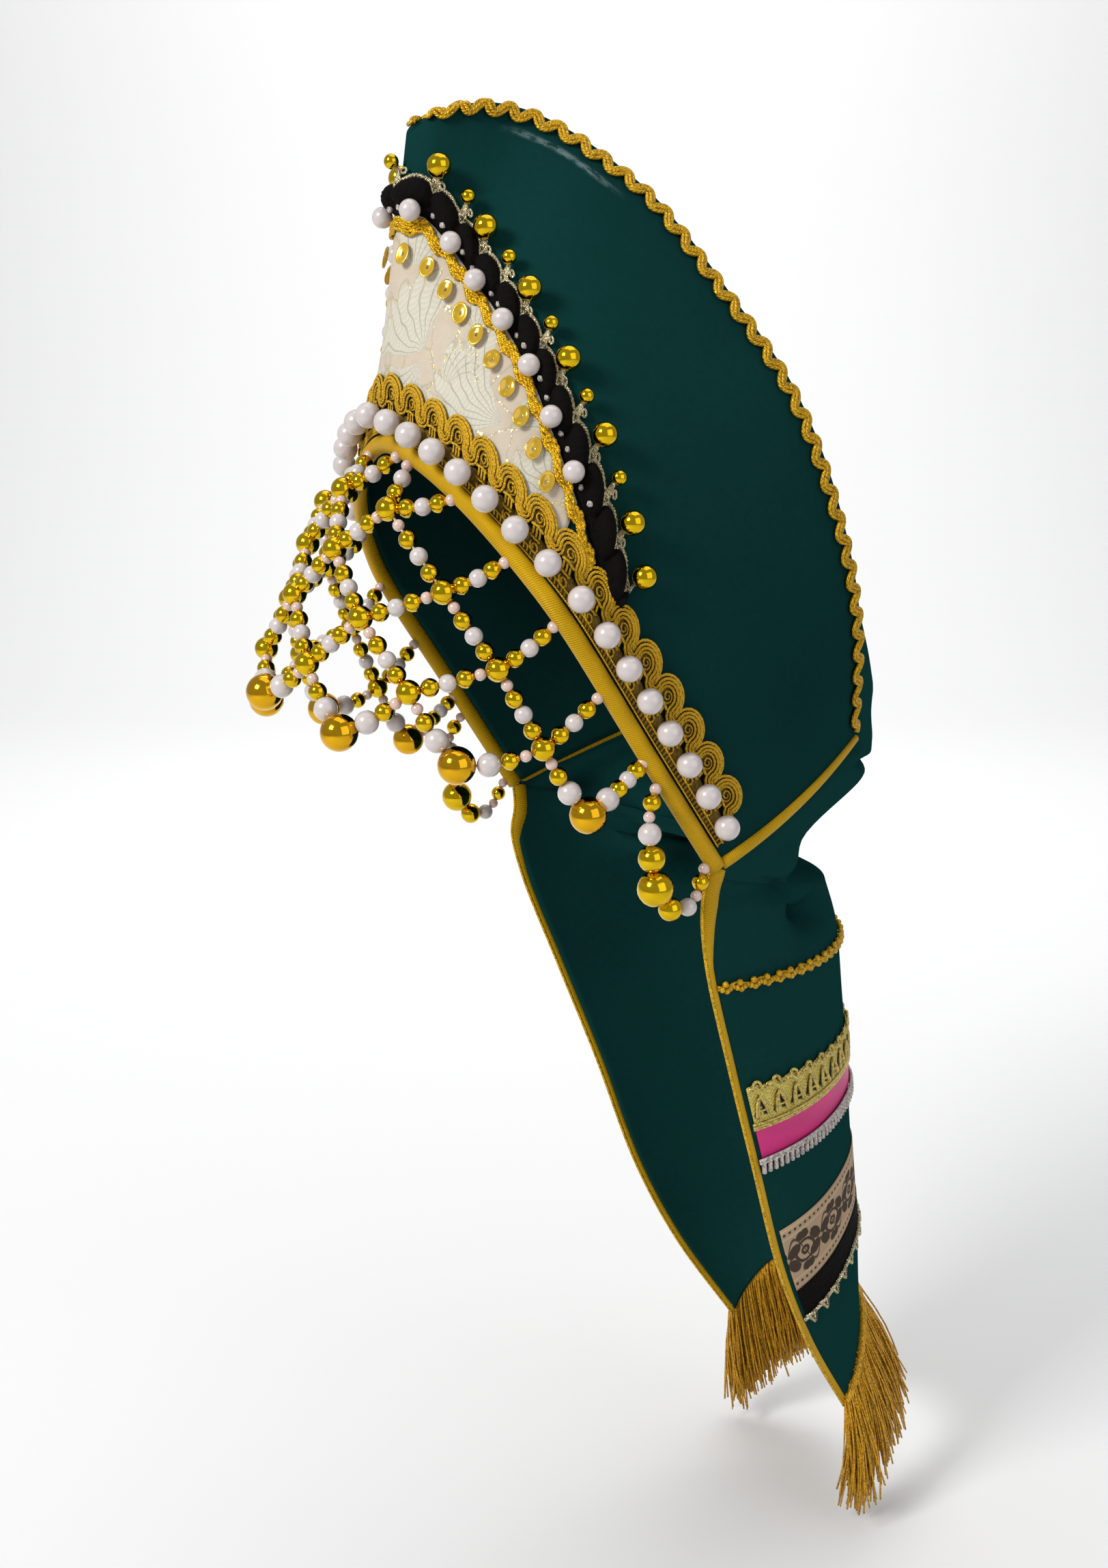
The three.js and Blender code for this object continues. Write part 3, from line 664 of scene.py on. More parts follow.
class Paint:
    """A material and its nodes."""

    def __init__(self, name, **constants):
        self.material = bpy.data.materials.new(name)
        self.material.use_nodes = True
        self.tree = self.material.node_tree
        self.shader = self.tree.nodes["Principled BSDF"]
        for socket, value in constants.items():
            self.shader.inputs[socket.replace("_", " ").title().replace("Ior", "IOR")].default_value = value

    def node(self, kind, settings=None, inputs=None, output=0):
        """Add a node with its settings and inputs; gives one of its outputs."""
        made = self.tree.nodes.new(kind)
        for name, value in (settings or {}).items():
            setattr(made, name, value)
        for name, value in (inputs or {}).items():
            self.feed(made.inputs[name], value)
        return Wire(self, made.outputs[output])

    def feed(self, socket, value):
        """Set a socket to a value, or link it."""
        if isinstance(value, Wire):
            self.tree.links.new(value.socket, socket)
        elif hasattr(value, "__len__") and len(value) == 3 and socket.type == "RGBA":
            socket.default_value = (*value, 1)
        else:
            socket.default_value = value

    def place(self):
        """Place in the object's own space, in metres."""
        return self.node("ShaderNodeTexCoord", output="Object")

    def cloth_map(self):
        """Distances along and across the piece, in millimetres."""
        split = self.node("ShaderNodeSeparateXYZ", inputs={0: self.node("ShaderNodeTexCoord", output="UV")})
        other = Wire(self, split.socket.node.outputs[1])
        return split, other

    def noise(self, scale, detail=2, roughness=0.5, at=None):
        """Noise value over the piece."""
        return self.node(
            "ShaderNodeTexNoise",
            inputs={"Vector": at or self.place(), "Scale": scale, "Detail": detail, "Roughness": roughness},
        )

    def cells(self, scale, feature="F1", at=None):
        """Distances in a cell pattern over the piece."""
        return self.node(
            "ShaderNodeTexVoronoi",
            {"feature": feature},
            {"Vector": at or self.place(), "Scale": scale},
            "Distance",
        )

    def vector(self, x, y, z=0.0):
        """Vector from three values."""
        return self.node("ShaderNodeCombineXYZ", inputs={0: x, 1: y, 2: z})

    def mixed(self, part, low, high):
        """Colour between two others."""
        return self.node(
            "ShaderNodeMix", {"data_type": "RGBA"}, {"Factor": part, 6: low, 7: high}, output=2
        )

    def colour(self, value):
        """Feed the base colour."""
        self.feed(self.shader.inputs["Base Color"], value)
        return self

    def rough(self, value):
        """Feed the roughness."""
        self.feed(self.shader.inputs["Roughness"], value)
        return self

    def metal(self, value):
        """Feed the metallic value."""
        self.feed(self.shader.inputs["Metallic"], value)
        return self

    def bump(self, height, depth, strength=1.0):
        """Feed the normal from a height between 0 and 1, of a depth in millimetres."""
        bump = self.node(
            "ShaderNodeBump", inputs={"Height": height, "Distance": depth * MM, "Strength": strength}
        )
        self.feed(self.shader.inputs["Normal"], bump)
        return self


def shade(value, factor):
    """A colour made darker or lighter."""
    return tuple(min(channel * factor, 1) for channel in value)


def napped(paint, dark, light):
    """Nap, weave and mottled colour of green cloth, between two shades."""
    green = colours().green
    nap = paint.noise(420, 4, 0.65)
    paint.rough(nap * 0.15 + 0.8)
    mottle = nap * 0.4 + paint.noise(16, 3) * 0.6
    return nap, paint.noise(2200, 1), paint.mixed(mottle, shade(green, dark), shade(green, light))


def green_cloth():
    """Soft green cloth of the back and the tail, painted a little lighter than the crown as painted light,
    for the brighter light that falls on them.
    """
    paint = Paint("green_cloth", specular_ior_level=0.0)
    # These shades, lighter than the crown's, are painted light on the back cloth and the tail.
    nap, weave, base = napped(paint, 0.85, 1.6)
    paint.colour(base)
    return paint.bump(nap * 0.5 + weave * 0.5, 0.25, 0.5).material


def worn_cloth():
    """The crown's green cloth, with a rubbed and fraying streak below the crest."""
    paint = Paint("worn_green_cloth", specular_ior_level=0.0)
    nap, weave, base = napped(paint, 0.7, 1.32)
    along, up = paint.cloth_map()
    fray = paint.noise(0.5, 4, 0.7, paint.vector(along * 0.5, up * 1.2))
    ends = 1 - abs(abs(along - CROWN.half_face) - 58).within(8, 20)
    streak = (1 - abs(up - 112.4).within(0.2, 1.6)) * ends
    worn = fray.within(0.36, 0.6) * streak
    paint.colour(paint.mixed(worn * 0.5, base, (0.20, 0.29, 0.28)))
    return paint.bump(nap * 0.4 + weave * 0.4 + worn * 0.6, 0.3, 0.6).material


def brocade_cloth():
    """Cream jacquard of curved, ribbed leaves on a pinkish ground, with dotted glittering outlines."""
    paint = Paint("brocade", sheen_weight=0.05, specular_ior_level=0.2)
    along, _ = paint.cloth_map()
    split = paint.node("ShaderNodeSeparateXYZ", inputs={0: paint.place()})
    side = abs(along - BROCADE_END * CROWN.half_face)
    height = Wire(paint, split.socket.node.outputs[2]) * 1000
    plane = paint.vector(side, height)
    sway = paint.noise(0.09, 1, at=plane) * 5 - 2.5
    leaf, veins, rim = None, None, None
    for at, level, heading, reach, spread, blades in BROCADE_LEAVES:
        turn = math.radians(heading)
        right, up = side - at + sway, height - level + sway * 0.6
        ahead = right * math.cos(turn) + up * math.sin(turn)
        beside = up * math.cos(turn) - right * math.sin(turn)
        far = (ahead**2 + beside**2) ** 0.5
        bend = beside.math("ARCTAN2", ahead) + (far / reach) ** 2 * 0.3 - 0.1
        blade = abs((bend * (blades * math.pi / (2 * spread))).sine())
        end = blade**0.6 * (0.3 * reach) + 0.7 * reach
        fan = 1 - abs(bend).within(spread * 0.94, spread)
        inside = (1 - far.within(end - 0.5, end + 0.2)) * fan * far.within(1.0, 2.0)
        barb = (far * 3.4 + blade * 3).sine() * 0.5 + 0.5
        vein = (1 - blade.within(0.1, 0.34)).most(barb * 0.3) * inside
        edge = (1 - abs(far - end).within(0.35, 0.95)) * fan
        leaf = inside if leaf is None else leaf.most(inside)
        veins = vein if veins is None else veins.most(vein)
        rim = edge if rim is None else rim.most(edge)
    swayed = paint.vector(side + sway * 2, height + sway)
    stray = 1 - paint.cells(0.075, "DISTANCE_TO_EDGE", swayed).within(0.015, 0.045)
    rim = rim.most(stray * (1 - leaf))
    dots = paint.cells(0.75, at=plane)
    spark = rim * (1 - dots.within(0.3, 0.5))
    threads = (height * 11).sine() * 0.5 + 0.5
    cloud = paint.noise(0.3, 2, at=plane)
    ground = paint.mixed(cloud, shade(colours().brocade, 0.94), shade(colours().brocade, 1.12))
    pale = paint.mixed(cloud, (0.52, 0.49, 0.39), (0.60, 0.57, 0.47))
    body = paint.mixed(leaf, ground, pale)
    lined = paint.mixed(veins * 0.72 + rim * 0.4, body, (0.30, 0.285, 0.225))
    paint.colour(paint.mixed(spark * 0.9, lined, (0.80, 0.62, 0.26)))
    paint.rough(0.62 - spark * 0.35)
    paint.metal(spark * 0.6)
    relief = leaf * 0.5 - veins * 0.4 + spark * 0.4 + threads * 0.1
    return paint.bump(relief, 0.35, 0.7).material


# Twisted threads: tint or the name of a colour, factor on it, pitch, depth, metal, roughness, glitter
THREADS = {
    "lace_thread": ((0.70, 0.53, 0.14), 1, 0.8, 0.35, 0.4, 0.34, 0.9),
    # Next, the gimp darkened for the painted shade behind the forehead lace's openings
    "gimp_ground": ("gimp", 0.32, 1.1, 0.3, 0.1, 0.6, 0),
    "gold_braid": ("braid", 1, 0.9, 0.3, 0.6, 0.26, 0.8),
    "crest_braid": ("braid", 0.8, 1.1, 0.35, 0.45, 0.34, 0.9),
    "picot": ("picot", 1, 0.7, 0.5, 0.75, 0.24, 1.0),
    "gold_fringe": ("fringe", 1, 1.2, 0.1, 0.25, 0.34, 0.3),
    "white_cotton": ("white", 1, 0.9, 0.2, 0.0, 0.7, 0),
}


def wound_thread(name):
    """Thread wound round a cord, with painted light on its turns, painted shade between them and in its
    pits, and glitter flecks of shinier metal painted lighter as painted glints.
    """
    tint, factor, pitch, depth, metal, rough, glitter = THREADS[name]
    tint = shade(getattr(colours(), tint) if isinstance(tint, str) else tint, factor)
    paint = Paint(name, specular_ior_level=0.4)
    along, around = paint.cloth_map()
    turn = ((along / pitch + around / (pitch * 1.6)) * math.tau).sine() * 0.5 + 0.5
    wear = paint.noise(260, 2)
    spark = paint.noise(1100, 2, 0.7).within(0.52, 0.68)
    pit = paint.noise(800, 2, 0.7).within(0.38, 0.55)
    # Painted light and shade: bright on the turns, dark in the grooves between them and in the pits.
    tone = turn * 0.4 + pit * 0.6
    base = paint.mixed(tone, shade(tint, 0.32), shade(tint, 1.1))
    # Glitter: shinier metal flecks, their colour painted lighter as painted glints.
    paint.colour(paint.mixed(spark * glitter, base, shade(tint, 1.5)))
    paint.rough(rough + wear * 0.15 - spark * glitter * 0.2)
    paint.metal(spark * glitter * 0.4 + metal)
    return paint.bump(turn * 0.5 + spark * glitter * 0.5, depth, 0.9).material


def gimp_thread():
    """Knurled gold gimp, with painted shade down the sides of each cord, painted light and shade on its
    knurls, and glitter flecks painted lighter as painted glints.
    """
    paint = Paint("gold_gimp", specular_ior_level=0.35, specular_tint=(1.0, 0.78, 0.35, 1.0))
    tint = colours().gimp
    along, around = paint.cloth_map()
    knurl = (along * 5.4 + around * 2.2).sine() * (around * 5.0 - along * 2.1).sine() * 0.5 + 0.5
    # Painted shade: each cord is painted dark down its sides and bright along its upper side.
    crown = (around / 0.55 + math.pi / 2).sine()
    painted_lit_top = crown.within(-0.1, 0.75)
    wear = paint.noise(260, 2)
    spark = paint.noise(1700, 2, 0.7).within(0.56, 0.74)
    # The knurl's light and dark are painted light and shade; the sparks are shinier flecks, painted lighter
    # as painted glints.
    base = paint.mixed(knurl * 0.7 + wear * 0.3, shade(tint, 0.55), shade(tint, 1.25))
    bright = paint.mixed(spark * 0.35, base, (0.95, 0.72, 0.2))
    paint.colour(paint.mixed(painted_lit_top, shade(tint, 0.16), bright))
    paint.rough(0.48 + wear * 0.1 - spark * 0.15)
    paint.metal(spark * 0.25 + 0.08)
    return paint.bump(knurl, 0.5, 0.9).material


def satin():
    """Mustard satin with fine slanting ribs and lighter stretches along it."""
    paint = Paint("gold_satin", specular_ior_level=0.45, specular_tint=(1.0, 0.76, 0.16, 1.0))
    tint = colours().satin
    along, around = paint.cloth_map()
    rib = ((along / 0.75 + around / 3.0) * math.tau).sine() * 0.5 + 0.5
    cloud = paint.noise(45, 3)
    streak = paint.noise(0.12, 3, at=paint.vector(along * 0.4, around * 2))
    tone = cloud * 0.4 + rib * 0.25 + streak * 0.35
    paint.colour(paint.mixed(tone, shade(tint, 0.5), shade(tint, 1.4)))
    paint.rough(0.26 + cloud * 0.18 + rib * 0.08)
    return paint.bump(rib, 0.2, 0.8).material


def gold_plate(name="gold_bead", tint="gold"):
    """Bright plated gold with faint clouding."""
    paint = Paint(name, specular_ior_level=0.6, metallic=1.0)
    tint = getattr(colours(), tint)
    cloud = paint.noise(220, 2)
    paint.colour(paint.mixed(cloud, shade(tint, 0.84), shade(tint, 1.1)))
    paint.rough(0.06 + cloud * 0.08)
    return paint.bump(paint.noise(500, 2), 0.08, 0.3).material


def pearl_coat(name, tint="pearl"):
    """Pearl lustre over a pale bead."""
    paint = Paint(name, coat_weight=1.0, coat_roughness=0.05, specular_ior_level=0.6)
    tint = getattr(colours(), tint)
    cloud = paint.noise(180, 3)
    paint.colour(paint.mixed(cloud, shade(tint, 0.9), shade(tint, 1.08)))
    paint.rough(0.2 + cloud * 0.1)
    return paint.bump(paint.noise(700, 2), 0.05, 0.2).material


def black_thread():
    """Black cotton lace."""
    paint = Paint("black_lace", specular_ior_level=0.07)
    tint = colours().black
    fuzz = paint.noise(900, 3, 0.7)
    knots = paint.cells(420)
    paint.colour(paint.mixed(fuzz, shade(tint, 0.4), shade(tint, 1.7)))
    paint.rough(0.75 + fuzz * 0.2)
    return paint.bump(fuzz * 0.5 + knots * 0.5, 0.8, 1.0).material


def sequin_film():
    """Amber film with a moulded rim."""
    paint = Paint("sequin", coat_weight=0.8, coat_roughness=0.04, transmission_weight=0.25, ior=1.45)
    tint = colours().sequin
    cloud = paint.noise(160, 2)
    paint.colour(paint.mixed(cloud, shade(tint, 0.7), shade(tint, 1.25)))
    paint.rough(0.12 + cloud * 0.12)
    paint.metal(cloud * 0.35 + 0.15)
    return paint.bump(cloud, 0.1, 0.3).material


def pink_satin():
    """Magenta satin ribbon, with painted sheen and painted shade of soft folds along it."""
    paint = Paint("pink_satin", specular_ior_level=0.5, specular_tint=(1.0, 0.25, 0.6, 1.0))
    tint = colours().pink
    along, up = paint.cloth_map()
    weave = (up * 22).sine() * 0.5 + 0.5
    fold = paint.noise(0.05, 3, at=paint.vector(along, up * 3))
    # The fold noise paints the sheen and shade of folds that the ribbon's shape does not have: painted sheen
    # and painted shade.
    paint.colour(paint.mixed(fold, shade(tint, 0.7), shade(tint, 1.3)))
    paint.rough(0.3 + fold * 0.15)
    return paint.bump(weave * 0.3 + fold * 0.7, 0.15, 0.8).material


def metal_lace():
    """Gold metal lace with a row of small arched gaps that show the cloth, its green darkened as painted
    shade, and glitter flecks painted lighter as painted glints.
    """
    paint = Paint("metal_lace", specular_ior_level=0.5)
    tint = (0.86, 0.64, 0.13)
    along, up = paint.cloth_map()
    cell = along.wrapped(9.0) - 4.5
    height = up - 8.2
    arch = abs(cell) - (4.6 - height) * 0.52
    leg = (abs(cell) - 0.55) * 1.4
    gap = (1 - arch.within(-0.35, 0.15)) * height.within(-3.2, -2.6) * (1 - height.within(3.6, 4.2))
    gap = gap * leg.within(-0.2, 0.4).most(height.within(0.2, 1.0))
    bar = 1 - abs(up - 2.2).within(0.5, 0.9)
    thread = ((along * 3.2).sine() * (up * 4.1).sine()) * 0.5 + 0.5
    scroll = paint.noise(0.35, 2, at=paint.vector(along, up))
    spark = paint.noise(1300, 2, 0.7).within(0.5, 0.68)
    # The sparks are shinier flecks, painted lighter as painted glints.
    tone = thread * 0.3 + spark * 0.45 + scroll * 0.25
    gold = paint.mixed(tone, shade(tint, 0.38), shade(tint, 1.35))
    # The gaps take the cloth's green at half its brightness: painted shade in the openings.
    paint.colour(paint.mixed(gap, gold, shade(colours().green, 0.5)))
    paint.metal((1 - gap) * 0.55)
    paint.rough(0.36 + gap * 0.5 - spark * 0.1)
    relief = (1 - gap) * (thread * 0.25 + scroll * 0.35 + 0.4) + bar * 0.2
    return paint.bump(relief, 0.9, 0.9).material


RIBBON_WIDTH = 32.5
RIBBON_REPEAT = 19.0


def pattern_ribbon():
    """Beige woven ribbon with dotted borders and a dark band of rosettes and leaves."""
    paint = Paint("beige_ribbon", specular_ior_level=0.15)
    tint = colours().beige
    along, up = paint.cloth_map()
    from_edge = up.least(RIBBON_WIDTH - up)
    dot = ((along.wrapped(2.7) - 1.35) ** 2 + (from_edge - 3.2) ** 2) ** 0.5
    dots = 1 - dot.within(0.5, 0.85)
    outer_line = (1 - abs(from_edge - 1.2).within(0.3, 0.6)) * 0.5
    inner_line = (1 - abs(from_edge - 5.4).within(0.3, 0.6)) * 0.6
    line = outer_line + inner_line
    height = up - 16.2
    ragged = paint.noise(0.5, 3, at=paint.vector(along, up)) * 1.6 - 0.8
    rose = along.wrapped(RIBBON_REPEAT) - RIBBON_REPEAT / 2
    rose_far = (rose**2 + height**2) ** 0.5 + ragged * 0.6
    rosette = 1 - abs(rose_far - 5.0).within(0.5, 0.95)
    seed = 1 - abs(rose_far - 1.6).within(0.5, 0.9)
    leaf = (along + RIBBON_REPEAT / 2).wrapped(RIBBON_REPEAT) - RIBBON_REPEAT / 2
    leaf_far = (leaf**2 + height**2) ** 0.5 + ragged
    turn = height.math("ARCTAN2", leaf)
    petals = abs((turn * 2 + 0.4).sine())
    cluster = 1 - (leaf_far - petals * 7.4).within(0.8, 1.6)
    heart = 1 - leaf_far.within(1.0, 1.6)
    bud = ((abs(rose) - 1.2) ** 2 + (abs(height) - 8.0) ** 2) ** 0.5 + ragged * 0.8
    buds = 1 - bud.within(1.9, 2.6)
    vine = (along * (math.tau / RIBBON_REPEAT)).sine() * 8.4
    stem = (1 - abs(height - vine).within(0.5, 0.95)) * 0.9
    inside = from_edge.within(5.6, 6.2)
    motif = cluster.most(rosette).most(buds).most(seed).most(stem) * inside * (1 - heart * 0.85)
    weave = ((along * 12).sine() * (up * 12).sine()) * 0.5 + 0.5
    base = paint.mixed(weave * 0.5 + line, shade(tint, 0.9), shade(tint, 1.3))
    paint.colour(paint.mixed(motif.most(dots) * 0.93, base, (0.030, 0.020, 0.016)))
    paint.rough(0.75 + motif * 0.1)
    return paint.bump(motif * 0.6 + weave * 0.2 + dots * 0.4, 0.5, 0.8).material


def floor_paint():
    """Plain pale floor."""
    paint = Paint("floor", specular_ior_level=0.1)
    tint = colours().floor
    paint.colour(paint.mixed(paint.noise(1.5, 2), shade(tint, 0.985), tint))
    paint.shader.inputs["Roughness"].default_value = 0.9
    return paint.material


# Materials and balls that were made already
PAINTS = {}
BALL_SHAPES = {}


def paint(maker, *arguments):
    """Material of a kind, made once."""
    key = (maker.__name__, *arguments[:1])
    if key not in PAINTS:
        PAINTS[key] = maker(*arguments)
    return PAINTS[key]


def ball_shape(segments, rings):
    """Unit ball, made once for each number of faces."""
    name = f"ball_{segments}_{rings}"
    if name not in BALL_SHAPES:
        shape = bmesh.new()
        bmesh.ops.create_uvsphere(shape, u_segments=segments, v_segments=rings, radius=1.0)
        BALL_SHAPES[name] = bpy.data.meshes.new(name)
        shape.to_mesh(BALL_SHAPES[name])
        shape.free()
    return BALL_SHAPES[name]


class Work:
    """A mesh under construction, in millimetres."""

    def __init__(self):
        self.mesh = bmesh.new()

    def sheet(self, columns, rows, place, size):
        """Lay a grid of faces where place(across, up) says, mapped over its size."""
        grid = bmesh.new()
        layer = grid.loops.layers.uv.new("cloth")
        bmesh.ops.create_grid(grid, x_segments=columns, y_segments=rows, size=0.5)
        for face in grid.faces:
            for loop in face.loops:
                spot = loop.vert.co
                loop[layer].uv = ((spot.x + 0.5) * size[0], (spot.y + 0.5) * size[1])
        for vert in grid.verts:
            vert.co = place(vert.co.x + 0.5, vert.co.y + 0.5) * MM
        scratch = bpy.data.meshes.new("scratch")
        grid.to_mesh(scratch)
        grid.free()
        self.mesh.from_mesh(scratch)
        bpy.data.meshes.remove(scratch)

    def cord(self, path, radius, sides=6, flat=1.0, normals=None):
        """Sweep a cord with pointed, closed ends along a path. flat thins it along its normals."""
        tangents = [
            (path[min(k + 1, len(path) - 1)] - path[max(k - 1, 0)]).normalized() for k in range(len(path))
        ]
        out = normals[0] if normals else tangents[0].orthogonal()
        rings = []
        walked = [0.0]
        for k, tangent in enumerate(tangents):
            out = normals[k] if normals else out
            out = (out - tangent * out.dot(tangent)).normalized()
            rings.append((path[k], out, tangent.cross(out)))
            walked.append(walked[-1] + (path[k] - path[max(k - 1, 0)]).length)
        widths = radius if hasattr(radius, "__len__") else [radius] * len(path)
        tips = (path[0] - tangents[0] * widths[0] * 0.4, path[-1] + tangents[-1] * widths[-1] * 0.4)
        last = len(path) + 1

        def place(along, around):
            step = round(along * last)
            if step in (0, last):
                return tips[0 if step == 0 else 1]
            centre, out, side = rings[step - 1]
            turn = math.tau * around
            wide = widths[step - 1]
            return centre + out * (math.cos(turn) * wide * flat) + side * (math.sin(turn) * wide)

        self.sheet(last, sides, place, (walked[-1], math.tau * widths[len(widths) // 2]))

    def ball(self, centre, radius, segments=20, rings=12):
        """Add a round bead."""
        shape = ball_shape(segments, rings)
        place = Matrix.Translation(centre * MM) @ Matrix.Scale(radius * MM, 4)
        shape.transform(place)
        self.mesh.from_mesh(shape)
        shape.transform(place.inverted())

    def finish(self, name, material, slot, nodes=(), wall=0.0):
        """Make the piece, riding on the headdress; wall gives an open sheet its thickness inwards."""
        bmesh.ops.remove_doubles(self.mesh, verts=self.mesh.verts, dist=2e-6)
        if not wall:
            bmesh.ops.recalc_face_normals(self.mesh, faces=self.mesh.faces)
        for face in self.mesh.faces:
            face.smooth = True
        data = bpy.data.meshes.new(name)
        self.mesh.to_mesh(data)
        self.mesh.free()
        piece = bpy.data.objects.new(name, data)
        bpy.context.collection.objects.link(piece)
        data.materials.append(material)
        if wall:
            solid = piece.modifiers.new("wall", "SOLIDIFY")
            solid.thickness = wall * MM
            solid.offset = -1
        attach(piece, "root")
        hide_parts(*nodes)
        return piece


class HeaddressOperator(bpy.types.Operator):
    """Base of the steps that build the headdress."""

    bl_options = {"REGISTER", "UNDO"}

    def execute(self, context):
        self.build()
        return {"FINISHED"}


def crowded(across):
    """Share across the crown with columns crowded towards the narrow tip."""
    share = 2 * across - 1
    return math.copysign(abs(share) ** 1.25, share)


# End of the crown's cloth as a share of the face edge
CROWN_END = 0.997


class HEADDRESS_OT_crown(HeaddressOperator):
    """Cover the padded crown with green cloth."""

    bl_idname = "headdress.crown"
    bl_label = "Crown"

    def build(self):
        size = sizes()
        work = Work()

        def place(across, up):
            share = crowded(across) * CROWN_END
            start = CROWN.clear_of_edge(share, size.binding_radius - 0.5) / CROWN.length(share)
            return CROWN.lifted(share, lerp(start, 1, up), 0)

        work.sheet(180, 44, place, (2 * CROWN.half_face, 120))
        crown = work.finish("crown_cloth", paint(worn_cloth), "green_cloth", ["crown"], size.crown_wall)


class HEADDRESS_OT_bindings(HeaddressOperator):
    """Bind the face edge and the nape edges with satin."""

    bl_idname = "headdress.bindings"
    bl_label = "Satin bindings"

    def build(self):
        size = sizes()
        steps = 150
        work = Work()
        shares = [2 * k / steps - 1 for k in range(steps + 1)]
        path = [CROWN.face.point((share + 1) / 2) for share in shares]
        normals = [CROWN.normal(share, 0.02) for share in shares]
        work.cord(path, size.binding_radius, 18, 0.82, normals)
        work.finish("face_binding", paint(satin), "gold_satin", ["front_binding"])
        for side, name in ((1, "left"), (-1, "right")):
            work = Work()
            start = (size.binding_radius + size.nape_radius) / CROWN.length(side)
            path = [CROWN.point(side, lerp(start * 0.6, 1, k / 30)) for k in range(31)]
            normals = [CROWN.normal(side, lerp(start * 0.6, 1, k / 30)) for k in range(31)]
            widths = [size.nape_radius * lerp(1, 0.72, k / 30) for k in range(31)]
            work.cord(path, widths, 14, 0.8, normals)
            work.finish(f"nape_edge_{name}", paint(satin), "gold_satin", [f"nape_binding_{name}"])


# Forehead lace: ends as a share of the face edge, length of a scallop, height of its middle, radii of its
# arch and of the valley between two arches, and the cords side by side in the waved band
FOREHEAD_END = 0.967
GIMP_PITCH = 13.0
GIMP_CENTRE = 17.2
GIMP_ARCH = 4.7
GIMP_VALLEY = 1.95
GIMP_CORDS = (-1.65, -0.55, 0.55, 1.65)


def gimp_wave(offset):
    """One cord of the waved band over a repeat: distance along from the middle of an arch, and height."""
    half = GIMP_PITCH / 2
    drop = math.sqrt(max((GIMP_ARCH + GIMP_VALLEY) ** 2 - half**2, 0))
    lean = math.atan2(drop, half)
    points = []
    for k in range(14):
        turn = math.pi + lean - (math.pi + 2 * lean) * k / 13
        reach = GIMP_ARCH + offset
        points.append((reach * math.cos(turn), GIMP_CENTRE + reach * 1.04 * math.sin(turn)))
    for k in range(1, 7):
        turn = math.pi - lean + (math.pi + 2 * lean) * k / 7
        reach = GIMP_VALLEY - offset
        points.append((half + reach * math.cos(turn), GIMP_CENTRE - drop + reach * math.sin(turn)))
    return points


def spiral(middle, height, start, end, first, turns, steps):
    """Points of a scroll that winds inwards."""
    points = []
    for k in range(steps + 1):
        turn = math.radians(first + 360 * turns * k / steps)
        reach = lerp(start, end, k / steps)
        points.append((middle + reach * math.cos(turn), height + reach * math.sin(turn)))
    return points


def gimp_repeat():
    """Small cords of one scallop: points by distance along from its middle and height, lift, thickness."""
    cords = [
        (spiral(0.0, GIMP_CENTRE + 0.1, 2.0, 0.45, -80, 1.45, 22), 1.7, 0.8),
        (spiral(0.2, 8.0, 1.9, 0.6, 150, 1.25, 14), 1.4, 0.85),
        ([(-2.4, 14.2), (0, 14.7), (2.4, 14.2)], 2.3, 0.9),
        ([(-2.0, 10.9), (0, 10.5), (2.0, 10.9)], 2.0, 0.8),
    ]
    for side in (-1.35, 0.0, 1.35):
        cords.append(([(side, 14.9), (side, 13.0), (side * 1.1, 10.2)], 1.7, 0.9))
    return cords


